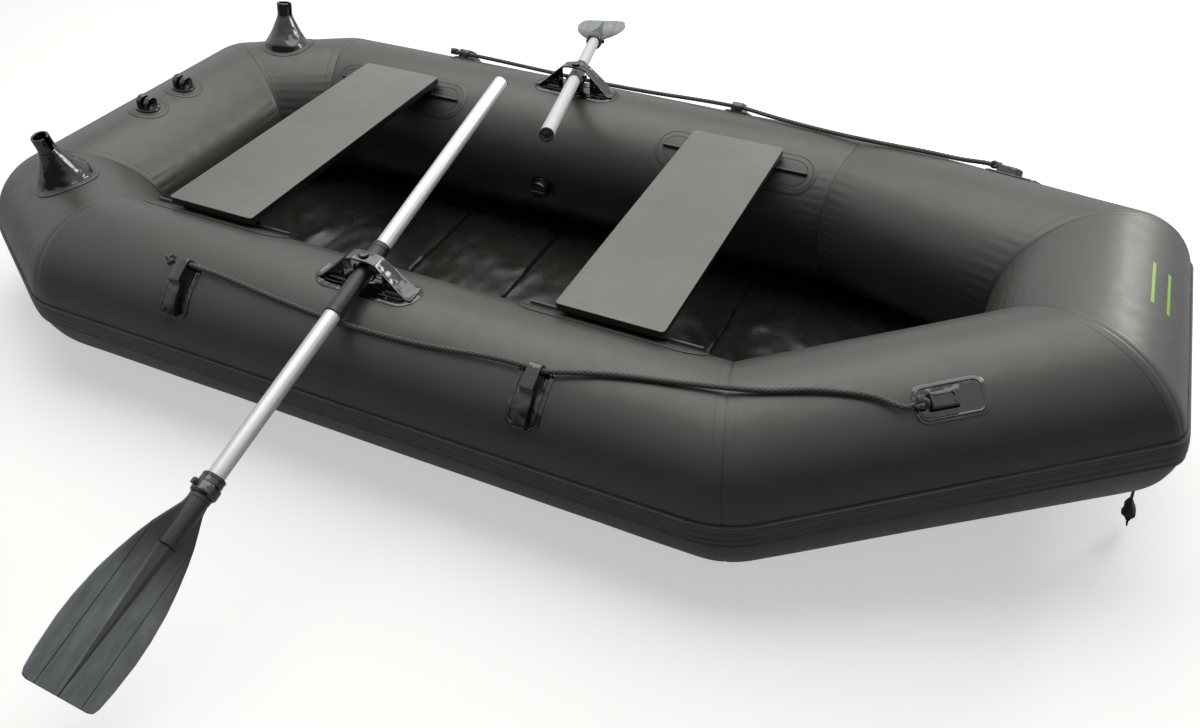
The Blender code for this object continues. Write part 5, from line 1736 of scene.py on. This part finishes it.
def welded_disc(name: str, radius: float, thickness: float, tube_radius: float) -> Bench:
    """Models a round patch flat, ready to be bent round a tube.

    Args:
        name: The piece's name.
        radius: Its radius.
        thickness: Its thickness.
        tube_radius: The radius of the tube that it will lie on.

    Returns:
        The patch on the bench.
    """
    patch = Bench.disc(name, radius, 72)
    patch.welded(thickness, (0.0010, 0.0005), 0.005).closed()
    return patch.cut(PATCH_BEND * tube_radius, radius).closed()


@dataclass
class SternSockets:
    """Two pairs of bored ears on round bases, on the crown of the stern tube."""

    hull: Hull
    socket_y: float = 0.057
    socket_x: float = -0.841
    patch_radius: float = 0.044
    patch_thickness: float = 0.0012
    disc_radius: float = 0.026
    disc_thickness: float = 0.004
    ear_width: float = 0.030
    ear_height: float = 0.026
    ear_thickness: float = 0.0125
    ear_gap: float = 0.008
    chamfer: float = 0.009
    bore: float = 0.0035
    bore_height: float = 0.0145

    def ear(self) -> Bench:
        """Models one ear: a block with chamfered shoulders and eased edges."""
        ear = Bench.block(
            "ear", (self.ear_width, self.ear_thickness, self.ear_height - 0.0015), (0, 0, self.ear_height / 2 + 0.00075)
        )
        shoulder = self.ear_height - 0.001
        ear.pick(
            lambda edge: all(
                vertex.co.z > shoulder for vertex in edge.verts
            ) and abs(edge.verts[0].co.x - edge.verts[1].co.x) < 0.001,
            Part.EDGES,
        ).bevel(self.chamfer, 1)
        ear.sharp(0.6, 0.003).bevel(0.0016, 3)
        return ear.closed()

    def build(self) -> None:
        """Models both sockets."""
        patch = welded_disc("socket_patch", self.patch_radius, self.patch_thickness, self.hull.radius)
        disc = Bench.disc("socket_disc", self.disc_radius, 64)
        disc.raised(self.disc_thickness - 0.0012, ((0.0012, 0.0012),)).closed()
        disc.cut(FITTING_BEND * self.hull.radius, self.disc_radius).closed()
        ear = self.ear()
        drill = Bench.lathed("drill", [(self.bore, -0.03), (self.bore, 0.03)], 32)
        drill.placed(moved(z=self.bore_height) @ turned(math.pi / 2, "X"))
        ear.minus(drill)
        tube = self.hull.tubes["stern_tube"]
        angle = math.asin((self.hull.stern_x - self.socket_x) / self.hull.radius)
        foot = self.patch_thickness + SEAM_GAP
        for side in Side:
            distance = side.value * self.socket_y - tube.corners[0].y
            name = f"{side.label}_stern_socket"
            tube.dress(patch.copied(f"{name}_patch_skin"), distance, angle, PATCH_VINYL, f"{name}_patch")
            base = disc.copied(f"{name}_skin").placed(moved(z=foot))
            tube.wrap(base, distance, angle)
            spot = tube.spot(distance, angle, SEAM_GAP + foot)
            ears = []
            for way in (1, -1):
                shift = moved(0, way * (self.ear_gap + self.ear_thickness) / 2, 0)
                ears.append(ear.copied("ear_part").placed(spot @ shift))
            base.joined(*ears).smoothed(30).fitted(BLACK_GLOSS, "hull", name)
        Bench.discard(patch, disc, ear)


@dataclass
class Cleats:
    """Six flat rope cleats: two on each side tube and one on each bow side tube."""

    hull: Hull
    angle: float = math.radians(42)
    side_x: tuple[float, float] = (-0.342, 0.366)
    bow_share: float = 0.590
    bow_angle: float = math.radians(37.5)
    length: float = 0.108
    width: float = 0.062
    thickness: float = 0.003
    corner: float = 0.018
    block_length: float = 0.104
    block_width: float = 0.028
    block_height: float = 0.022
    block_step: float = 0.014
    bow_block_length: float = 0.044
    bow_block_shift: float = 0.012
    step_share: float = 0.45
    slope: float = 0.004
    hole: float = 0.0056
    hole_inset: float = 0.009
    hole_height: float = 0.0118
    side_share: float = 0.35
    bead_run: float = 0.0008
    bead_rises: tuple[float, ...] = (0.25, 0.14, 0.05, -0.05, -0.14, -0.20)

    def plate(self) -> Bench:
        """Models the plate: a soft lip and a raised frame inside it."""
        plate = Bench.rounded("plate", self.width, self.length, self.corner, 40)
        bead = tuple((self.bead_run, rise) for rise in self.bead_rises)
        plate.raised(self.thickness * self.side_share, ((0.0010, 0.2), (0.0030, 0.0), *bead), self.thickness).closed()
        return plate.cut(FITTING_BEND * self.hull.radius, self.length / 2).closed()

    def block(self) -> Bench:
        """Models the stepped block: a low bar with its tall end extruded up, edges eased."""
        half, low = self.block_length / 2, self.block_step
        step = half - self.block_length * self.step_share
        block = Bench.block(
            "block", (self.block_width, half + step, low - 0.001), (0, (step - half) / 2, (low + 0.001) / 2)
        )
        block.pick(lambda face: face.normal.y > 0.9).extrude((0, half - step, 0))
        block.pick(lambda face: face.normal.z > 0.9 and face.calc_center_median().y > step)
        block.extrude((0, 0, self.block_height - low))
        block.pick(
            lambda vertex: vertex.co.z > low - 0.001 and vertex.co.y < -half + 0.001, Part.VERTS
        ).slide(y=self.slope)
        block.pick(
            lambda vertex: vertex.co.z > low + 0.001 and vertex.co.y > half - 0.001, Part.VERTS
        ).slide(y=-self.slope)
        block.pick(
            lambda vertex: vertex.co.z > low + 0.001 and vertex.co.y < step + 0.001, Part.VERTS
        ).slide(y=self.slope)
        block.pick(lambda vertex: vertex.co.z > low - 0.001, Part.VERTS).taper(0.86, 1)
        return block.sharp(0.3, 0.002).bevel(0.0018, 3).closed()

    def bow_block(self) -> Bench:
        """Models the bow cleat's short block: eased edges and a hollow in its top."""
        block = Bench.block(
            "block",
            (self.block_width, self.bow_block_length, self.block_step + 0.001),
            (0, self.bow_block_shift, self.block_step / 2 + 0.0015),
        )
        block.pick(lambda vertex: vertex.co.z > self.block_step / 2 + 0.002, Part.VERTS).resize(0.82, 0.88)
        block.sharp(0.3, 0.003).bevel(0.0016, 3).top().inset(0.0035).inset(0.0010, -0.0065)
        return block.closed()

    def drilled(self) -> Bench:
        """The block with the rope's hole through its tall end."""
        block = self.block()
        drill = Bench.lathed("drill", [(self.hole, -0.03), (self.hole, 0.03)], 24).placed(ALONG_SHAFT)
        drill.placed(moved(0, self.block_length / 2 - self.hole_inset, self.hole_height))
        return block.minus(drill)

    def bow_distance(self, side: Side) -> float:
        """How far the bow cleat lies from the first corner of its tube."""
        tube = self.hull.tubes[f"{side.label}_bow_side_tube"]
        return tube.length * (self.bow_share if side is Side.PORT else 1 - self.bow_share)

    def build(self) -> None:
        """Models the six cleats."""
        drilled = self.drilled().cut(FITTING_BEND * self.hull.radius, self.block_length / 2).closed()
        cleat, bow_cleat = self.plate().joined(drilled), self.plate().joined(self.bow_block())
        for side in Side:
            tube = self.hull.tubes[f"{side.label}_side_tube"]
            for index, x in enumerate(self.side_x):
                name = f"{side.label}_rope_cleat_{index + 1}"
                copy = cleat.copied(f"{name}_skin").placed(turned(math.pi, "Z"))
                tube.dress(copy, abs(x - tube.corners[0].x), self.angle, BLACK_GLOSS, name)
            tube = self.hull.tubes[f"{side.label}_bow_side_tube"]
            name = f"{side.label}_rope_cleat_{len(self.side_x) + 1}"
            copy = bow_cleat.copied(f"{name}_skin").placed(turned(side.value * math.pi / 2, "Z"))
            copy.cut(FITTING_BEND * self.hull.radius, self.width / 2)
            tube.dress(copy, self.bow_distance(side), self.bow_angle, BLACK_GLOSS, name)
        Bench.discard(cleat, bow_cleat)


def smooth_curve(points: Sequence[Vector], step: float) -> list[Vector]:
    """Points a step apart along a smooth curve through the given ones.

    Args:
        points: What the curve goes through.
        step: The distance between its points.

    Returns:
        The curve's points.
    """
    whole = [points[0] * 2 - points[1], *points, points[-1] * 2 - points[-2]]
    curve = []
    for before, start, end, after in zip(whole, whole[1:], whole[2:], whole[3:]):
        count = max(1, round((end - start).length / step))
        for index in range(count):
            t = index / count
            leave, reach = (end - before) / 2, (after - start) / 2
            a = 2 * start - 2 * end + leave + reach
            b = -3 * start + 3 * end - 2 * leave - reach
            curve.append(((a * t + b) * t + leave) * t + start)
    return [*curve, points[-1]]


@dataclass
class GrabRopes:
    """A braided rope on each side of the hull, through its three cleats."""

    hull: Hull
    cleats: Cleats
    radius: float = 0.0047
    lift: float = 0.0012
    tail: float = 0.016
    lead: float = 0.020
    sag: float = 0.020
    shares: Pairs = ((0.10, 0.12), (0.30, 0.62), (0.50, 0.95), (0.70, 0.76), (0.90, 0.13))
    route: Pairs = ((0.480, 16.5), (0.600, 8.0), (0.726, 12.3), (0.800, 19.5), (0.860, 28.5))
    sides: int = 16
    step: float = 0.0022
    strands: int = 4
    pitch: float = 0.020
    end_shares: tuple[float, ...] = (0.35, 0.80, 0.95)
    strand_rise: float = 0.055
    knot_size: float = 0.0085
    knot_flat: float = 0.42
    knot_steps: int = 83

    def points(self, side: Side) -> list[Vector]:
        """The rope's way through both side cleats to the bow cleat."""
        cleats, hull = self.cleats, self.hull
        tube = hull.tubes[f"{side.label}_side_tube"]
        bow_tube = hull.tubes[f"{side.label}_bow_side_tube"]
        hole_angle = cleats.angle - (cleats.block_length / 2 - cleats.hole_inset) / hull.radius
        high = SEAM_GAP + cleats.hole_height
        lying = self.radius + SEAM_GAP + self.lift

        def on_side(x: float, angle: float, height: float) -> Vector:
            """A point over the side tube."""
            return tube.wall_point(abs(x - tube.corners[0].x), angle, height)

        half = cleats.block_width / 2
        first, second = cleats.side_x
        points = [on_side(first - half - self.tail, hole_angle, high)]
        points += [on_side(first + way * half, hole_angle, high) for way in (-1, 1)]
        for along, sag in self.shares:
            x = first + half + (second - first - cleats.block_width) * along
            points.append(on_side(x, hole_angle + sag * self.sag / hull.radius, high + (lying - high) * sag))
        points += [on_side(second + way * half, hole_angle, high) for way in (-1, 1)]
        for x, degrees in self.route:
            on = tube if x < hull.kink_x else bow_tube
            start = on.corners[0] if side is Side.PORT else on.corners[1]
            distance = (x - start.x) / abs(on.along.x)
            if side is Side.STARBOARD:
                distance = on.length - distance
            points.append(on.wall_point(distance, math.radians(degrees), lying))
        face = cleats.block_length / 2 + SEAM_GAP
        for aft in (face + self.lead, face):
            distance = cleats.bow_distance(side) - side.value * aft
            points.append(bow_tube.wall_point(distance, cleats.bow_angle, high))
        return points

    def tube(self, name: str, path: Sequence[Vector], radius: float) -> Bench:
        """Models a braided tube along a path: a grid rolled round it, its strands raised.

        Args:
            name: The piece's name.
            path: The points that it follows.
            radius: Its radius over the strands.

        Returns:
            The tube on the bench.
        """
        rope = Bench.grid(name, self.sides, len(path) - 1)
        side_way = (path[1] - path[0]).cross(UP).normalized()
        places, maps, run = [], [], 0.0
        for index, here in enumerate(path):
            ahead = (path[min(index + 1, len(path) - 1)] - path[max(index - 1, 0)]).normalized()
            side_way = (side_way - ahead * side_way.dot(ahead)).normalized()
            up_way = side_way.cross(ahead)
            if index:
                run += (here - path[index - 1]).length
            tip = min(index, len(path) - 1 - index)
            draw = self.end_shares[tip] if tip < len(self.end_shares) else 1.0
            for side in range(self.sides + 1):
                turn = side / self.sides
                first, second = (
                    math.sin(math.tau * self.strands * (turn + way * run / self.pitch / 2)) for way in (1, -1)
                )
                out = radius * draw * (1 - self.strand_rise + self.strand_rise * max(first, second))
                angle = math.tau * turn
                places.append(here + out * (math.cos(angle) * side_way + math.sin(angle) * up_way))
                maps.append((turn, run))
        return rope.laid(places, maps).closed().smoothed(60)

    def knot(self, name: str, frame: Matrix, size: float) -> Bench:
        """Models an overhand knot of the same rope about a frame's origin.

        Args:
            name: The piece's name.
            frame: Its X lies along the rope.
            size: The knot's half size.

        Returns:
            The knot on the bench.
        """
        path = []
        for step in range(self.knot_steps + 1):
            turn = math.tau * step / self.knot_steps
            x = (math.sin(turn) + 2 * math.sin(2 * turn)) / 3
            y = (math.cos(turn) - 2 * math.cos(2 * turn)) / 3
            path.append(frame @ Vector((x * size, y * size, -math.sin(3 * turn) * size * self.knot_flat)))
        return self.tube(name, path, self.radius * 0.92)

    def build(self) -> None:
        """Models both ropes with the knots that hold them in their cleats."""
        for side in Side:
            points = self.points(side)
            path = smooth_curve(points, self.step)
            length = sum((b - a).length for a, b in zip(path, path[1:]))
            name = f"{side.label}_grab_rope"
            rope = self.tube(f"{name}_braid", path, self.radius).fitted(ROPE_BRAID, "hull", name)
            ends = (
                (points[0], points[1], f"{side.label}_side_tube", 0.0),
                (points[-1], points[-2], f"{side.label}_bow_side_tube", 0.008),
            )
            for number, (end, inner, tube_name, beyond) in enumerate(ends):
                tube = self.hull.tubes[tube_name]
                along = (inner - end).normalized()
                foot = tube.corners[0] + tube.along * (end - tube.corners[0]).dot(tube.along)
                out = (end - foot - along * (end - foot).dot(along)).normalized()
                axes = axes_of(along, out.cross(along), out)
                knot = self.knot(
                    f"{side.label}_rope_knot_{number + 1}",
                    Matrix.Translation(end - along * beyond + out * 0.001) @ axes,
                    self.knot_size,
                )
                knot.fitted(ROPE_BRAID, "hull")
            LOG.info("%s is %.3f m long", name, length)


@dataclass
class Valve:
    """The inflation valve on the inner face of the port side tube."""

    hull: Hull
    x: float = -0.016
    angle: float = math.radians(-96.6)
    flange_radius: float = 0.031
    flange_thickness: float = 0.003
    body_radius: float = 0.021
    body_height: float = 0.008
    cap_radius: float = 0.0225
    cap_height: float = 0.010
    grip_width: float = 0.008
    grip_height: float = 0.006

    def build(self) -> None:
        """Models the flange with its body, and the cap that turns on it."""
        tube = self.hull.tubes["port_side_tube"]
        distance = abs(self.x - tube.corners[0].x)
        flange = welded_disc("valve_body_skin", self.flange_radius, self.flange_thickness, self.hull.radius)
        tube.wrap(flange, distance, self.angle)
        spot = tube.spot(distance, self.angle, SEAM_GAP)
        rim = self.body_radius
        body = Bench.lathed(
            "valve_neck", [(rim, 0.0015), (rim, self.body_height - 0.0008), (rim - 0.0008, self.body_height)], 48
        )
        flange.joined(body.placed(spot)).smoothed(30).fitted(BLACK_GLOSS, "hull", "valve_body")
        rim, top = self.cap_radius, self.cap_height
        profile = [
            (rim - 0.0005, 0.0),
            (rim, 0.0005),
            (rim, top - 0.002),
            (rim - 0.0006, top - 0.0006),
            (rim - 0.002, top),
            (rim - 0.004, top),
            (rim - 0.0046, top - 0.001),
            (0.004, top - 0.001),
        ]
        cap = Bench.lathed("valve_cap_skin", profile, 72)
        cap.reshape(
            lambda at: at * (
                1 - 0.018 * max(0.0, math.cos(24 * math.atan2(at.y, at.x)))
            ) if math.hypot(at.x, at.y) > rim - 0.0005 else at
        )
        grip = Bench.rounded("grip", 2 * (rim - 0.004), self.grip_width, 0.002, 24)
        grip.raised(self.grip_height + 0.001, ((0.001, 0.001),)).closed().placed(moved(z=top - 0.002))
        cap.joined(grip).smoothed(30).placed(spot @ moved(z=self.body_height + SEAM_GAP))
        cap.fitted(BLACK_GLOSS, "valve_cap", "valve_cap")


@dataclass
class Tow:
    """The tow patch low on the bow, its keeper and the strap that hangs from it."""

    hull: Hull
    y: float = 0.136
    angle: float = math.radians(132)
    patch_length: float = 0.070
    patch_width: float = 0.056
    patch_thickness: float = 0.002
    patch_corner: float = 0.012
    keeper_length: float = 0.016
    keeper_width: float = 0.034
    keeper_height: float = 0.010
    width: float = 0.024
    thickness: float = 0.003
    drop: float = 0.156
    forward: float = 0.017
    turn_share: float = 0.2
    shares: tuple[tuple[float, float, float], ...] = (
        (0.00, 1.00, 1.0),
        (0.25, 1.00, 1.0),
        (0.50, 0.95, 1.0),
        (0.68, 0.85, 1.3),
        (0.74, 1.00, 4.5),
        (0.80, 1.28, 8.0),
        (0.86, 1.20, 8.0),
        (0.91, 0.85, 4.0),
        (0.95, 0.90, 1.4),
        (1.00, 1.00, 1.2),
    )

    def section(self, drop: float) -> tuple[float, float]:
        """The strap's width and thickness factors at a share of its drop."""
        for (low, wide, thick), (high, wider, thicker) in zip(self.shares, self.shares[1:]):
            if drop <= high:
                share = (drop - low) / (high - low)
                ease = share * share * (3 - 2 * share)
                return wide + (wider - wide) * ease, thick + (thicker - thick) * ease
        return self.shares[-1][1:]

    def strap(self, spot: Matrix) -> None:
        """Models the hanging strap: a grid rolled round its section, folded on itself at the knot.

        Args:
            spot: The tow patch's frame.
        """
        lower = spot @ Vector((0, self.keeper_length / 2 + SEAM_GAP, self.keeper_height / 2))
        outward = spot.to_3x3() @ UP
        tilt = math.atan2(-outward.z, outward.x)
        rows, columns = 90, 32
        strap = Bench.grid("tow_strap_webbing", columns, rows)
        path, places = [], []
        for row in range(rows + 1):
            drop = row / rows
            wide, thick = self.section(drop)
            middle = lower + Vector((self.forward * drop * drop, 0, -self.drop * drop))
            path.append(middle)
            lean = tilt * max(0.0, 1 - drop / self.turn_share)
            across = Vector((math.cos(lean), 0, -math.sin(lean)))
            knotted = math.exp(-(((drop - 0.83) / 0.075) ** 2))
            for column in range(columns + 1):
                turn = math.tau * (column % columns) / columns
                x = math.copysign(abs(math.cos(turn)) ** 0.6, math.cos(turn)) * self.thickness * thick / 2
                y = math.copysign(abs(math.sin(turn)) ** 0.6, math.sin(turn)) * self.width * wide / 2
                fold = 1 - knotted * (0.16 + 0.16 * math.sin(2 * turn + 34 * drop))
                places.append(middle + x * fold * across + Vector((0, y * fold, 0)))
        made = strap.laid(places).closed().smoothed(45).fitted(STRAP_WEAVE, "hull", "tow_strap")
        length = sum((b - a).length for a, b in zip(path, path[1:]))
        LOG.info("tow_strap is %.3f m long", length)

    def build(self) -> None:
        """Models the patch, the keeper and the strap."""
        tube = self.hull.tubes["bow_tube"]
        distance = self.y + tube.corners[0].y
        patch = Bench.rounded("tow_patch_skin", self.patch_width, self.patch_length, self.patch_corner, 40)
        patch.welded(self.patch_thickness, (0.0012, 0.0006), 0.004).closed()
        patch.cut(PATCH_BEND * self.hull.radius, self.patch_length / 2).closed()
        tube.wrap(patch, distance, self.angle)
        spot = tube.spot(distance, self.angle, SEAM_GAP)
        keeper = Bench.rounded("keeper", self.keeper_width, self.keeper_length, 0.003, 24)
        keeper.raised(self.keeper_height - 0.0025, ((0.0015, 0.0012), (0.002, 0.0003))).closed()
        keeper.placed(spot @ moved(z=0.001))
        patch.joined(keeper).smoothed(30).fitted(PATCH_VINYL, "hull", "tow_patch")
        self.strap(spot)


# ---------------------------------------------------------------- the studio


@dataclass
class Studio:
    """The pale floor, the soft lights and the camera."""

    camera_at: tuple[float, float, float] = (0.9627, -1.5569, 1.3563)
    azimuth: float = math.radians(24.61)
    elevation: float = math.radians(40.40)
    roll: float = math.radians(-0.23)
    lens: float = 30.41
    floor_size: float = 40.0
    warmth: Colour = (1.0, 0.995, 0.94)
    fill: float = 0.11
    bright_way: tuple[float, float, float] = (-0.20, 0.62, 0.76)
    bright_span: tuple[float, float] = (-0.25, 0.35)
    floor_tone: tuple[float, float] = (0.80, 0.83)
    floor_bounce: float = 0.28
    glow_reach: tuple[float, float] = (2.0, 8.0)
    glow: tuple[float, float] = (0.50, 0.93)

    def camera(self) -> None:
        """Sets the camera where the photograph was taken from."""
        back = Vector(
            (
                math.sin(self.azimuth) * math.cos(self.elevation),
                -math.cos(self.azimuth) * math.cos(self.elevation),
                math.sin(self.elevation),
            )
        )
        data = bpy.data.cameras.new("camera")
        data.lens, data.sensor_width = self.lens, 36.0
        made = bpy.data.objects.new("camera", data)
        bpy.context.scene.collection.objects.link(made)
        turn = (-back).to_track_quat("-Z", "Y").to_matrix().to_4x4()
        made.matrix_world = Matrix.Translation(self.camera_at) @ turn @ turned(self.roll, "Z")
        bpy.context.scene.camera = made

    def floor(self) -> None:
        """Lays the pale floor, which keeps the boat's shadow."""
        Bench.cleared()
        bpy.ops.mesh.primitive_plane_add(size=self.floor_size, location=(0, 0, -0.0006))
        made = bpy.context.object
        made.name = "studio_floor"
        board = NodeBoard("studio_floor")
        seen, glossy = board.seen()
        shown = board.math("MAXIMUM", seen, board.math("MULTIPLY", glossy, 0.35))
        tone = board.spread(board.noise(board.place, 0.6), *self.floor_tone)
        tint = board.math("MULTIPLY", tone, board.ramp(shown, 0.0, 1.0, self.floor_bounce, 1.0))
        board.wire(Base_Color=tint, Roughness=0.9, Specular_IOR_Level=0.1)
        away = board.add("ShaderNodeVectorMath", {0: board.place}, operation="LENGTH").outputs["Value"]
        glow = board.ramp(away, *self.glow_reach, *self.glow)
        board.wire(Emission_Color=WHITE, Emission_Strength=board.math("MULTIPLY", shown, glow))
        made.data.materials.append(board.material)

    def lamp(self, name: str, at: Vector, aim: Vector, size: tuple[float, float], power: float) -> None:
        """Adds one soft box.

        Args:
            name: The lamp's name.
            at: Its place.
            aim: The point that it faces.
            size: Its width and height.
            power: Its power in watts.
        """
        data = bpy.data.lights.new(name, "AREA")
        data.shape, data.size, data.size_y, data.energy = "RECTANGLE", size[0], size[1], power
        data.color = self.warmth
        made = bpy.data.objects.new(name, data)
        bpy.context.scene.collection.objects.link(made)
        made.matrix_world = Matrix.Translation(at) @ (at - aim).to_track_quat("Z", "Y").to_matrix().to_4x4()

    def world(self) -> None:
        """A plain sky: soft fill for the boat, white for the camera, and for reflections but behind the camera."""
        world = bpy.data.worlds.new("studio_sky")
        world.use_nodes = True
        bpy.context.scene.world = world
        table = NodeTable(world.node_tree)
        sky = table.tree.nodes["Background"]
        sky.inputs["Color"].default_value = WHITE
        seen, glossy = table.seen()
        direction = table.add("ShaderNodeTexCoord", {}).outputs["Generated"]
        turn = {0: direction, 1: self.bright_way}
        facing = table.add("ShaderNodeVectorMath", turn, operation="DOT_PRODUCT").outputs["Value"]
        mirrored = table.math("MULTIPLY", glossy, table.ramp(facing, *self.bright_span, self.fill, 1.0))
        strength = table.math("MAXIMUM", table.math("MAXIMUM", seen, mirrored), self.fill)
        table.tree.links.new(strength, sky.inputs["Strength"])

    def build(self) -> None:
        """Sets up the whole studio."""
        self.camera()
        self.world()
        self.floor()
        self.lamp("key", Vector((-0.05, 0.8, 2.9)), Vector((0.15, -0.1, 0.2)), (3.8, 3.0), 84.0)
        self.lamp("back", Vector((2.1, 2.15, 1.8)), Vector((0.05, -0.1, 0.3)), (1.1, 0.8), 24.0)
        bpy.context.scene.view_settings.view_transform = "Standard"


def dress_kept_nodes(frame: dict) -> None:
    """Gives the CAD nodes that stay their finish.
    """
    for name, node in frame["nodes"].items():
        if name.endswith("_seat_track"):
            material = TRACK_PLASTIC.material()
            if not node.material_slots:
                node.data.materials.append(material)
            for slot in node.material_slots:
                slot.material = material
            LOG.info("%s keeps its CAD form", name)


def main() -> None:
    """Builds the boat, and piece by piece."""
    logging.basicConfig(level=logging.INFO, format="%(name)s %(message)s")
    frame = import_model()
    studio = Studio()
    studio.build()
    hull = Hull()
    cleats = Cleats(hull)
    GrabRopes(hull, cleats).build()
    Tow(hull).build()
    hull.build()
    Floor().build()
    Seats(hull).build()
    Oarlock(hull).build()
    for pose in (
        OarPose(Side.STARBOARD, 0.0, math.radians(14.5), math.radians(-62)),
        OarPose(Side.PORT, math.radians(19.5), math.radians(13), 0.0),
    ):
        Oar(hull, pose).build()
    RodHolders(hull).build()
    SternSockets(hull).build()
    cleats.build()
    Valve(hull).build()
    dress_kept_nodes(frame)
    bpy.context.view_layer.update()


if __name__ == "__main__":
    main()
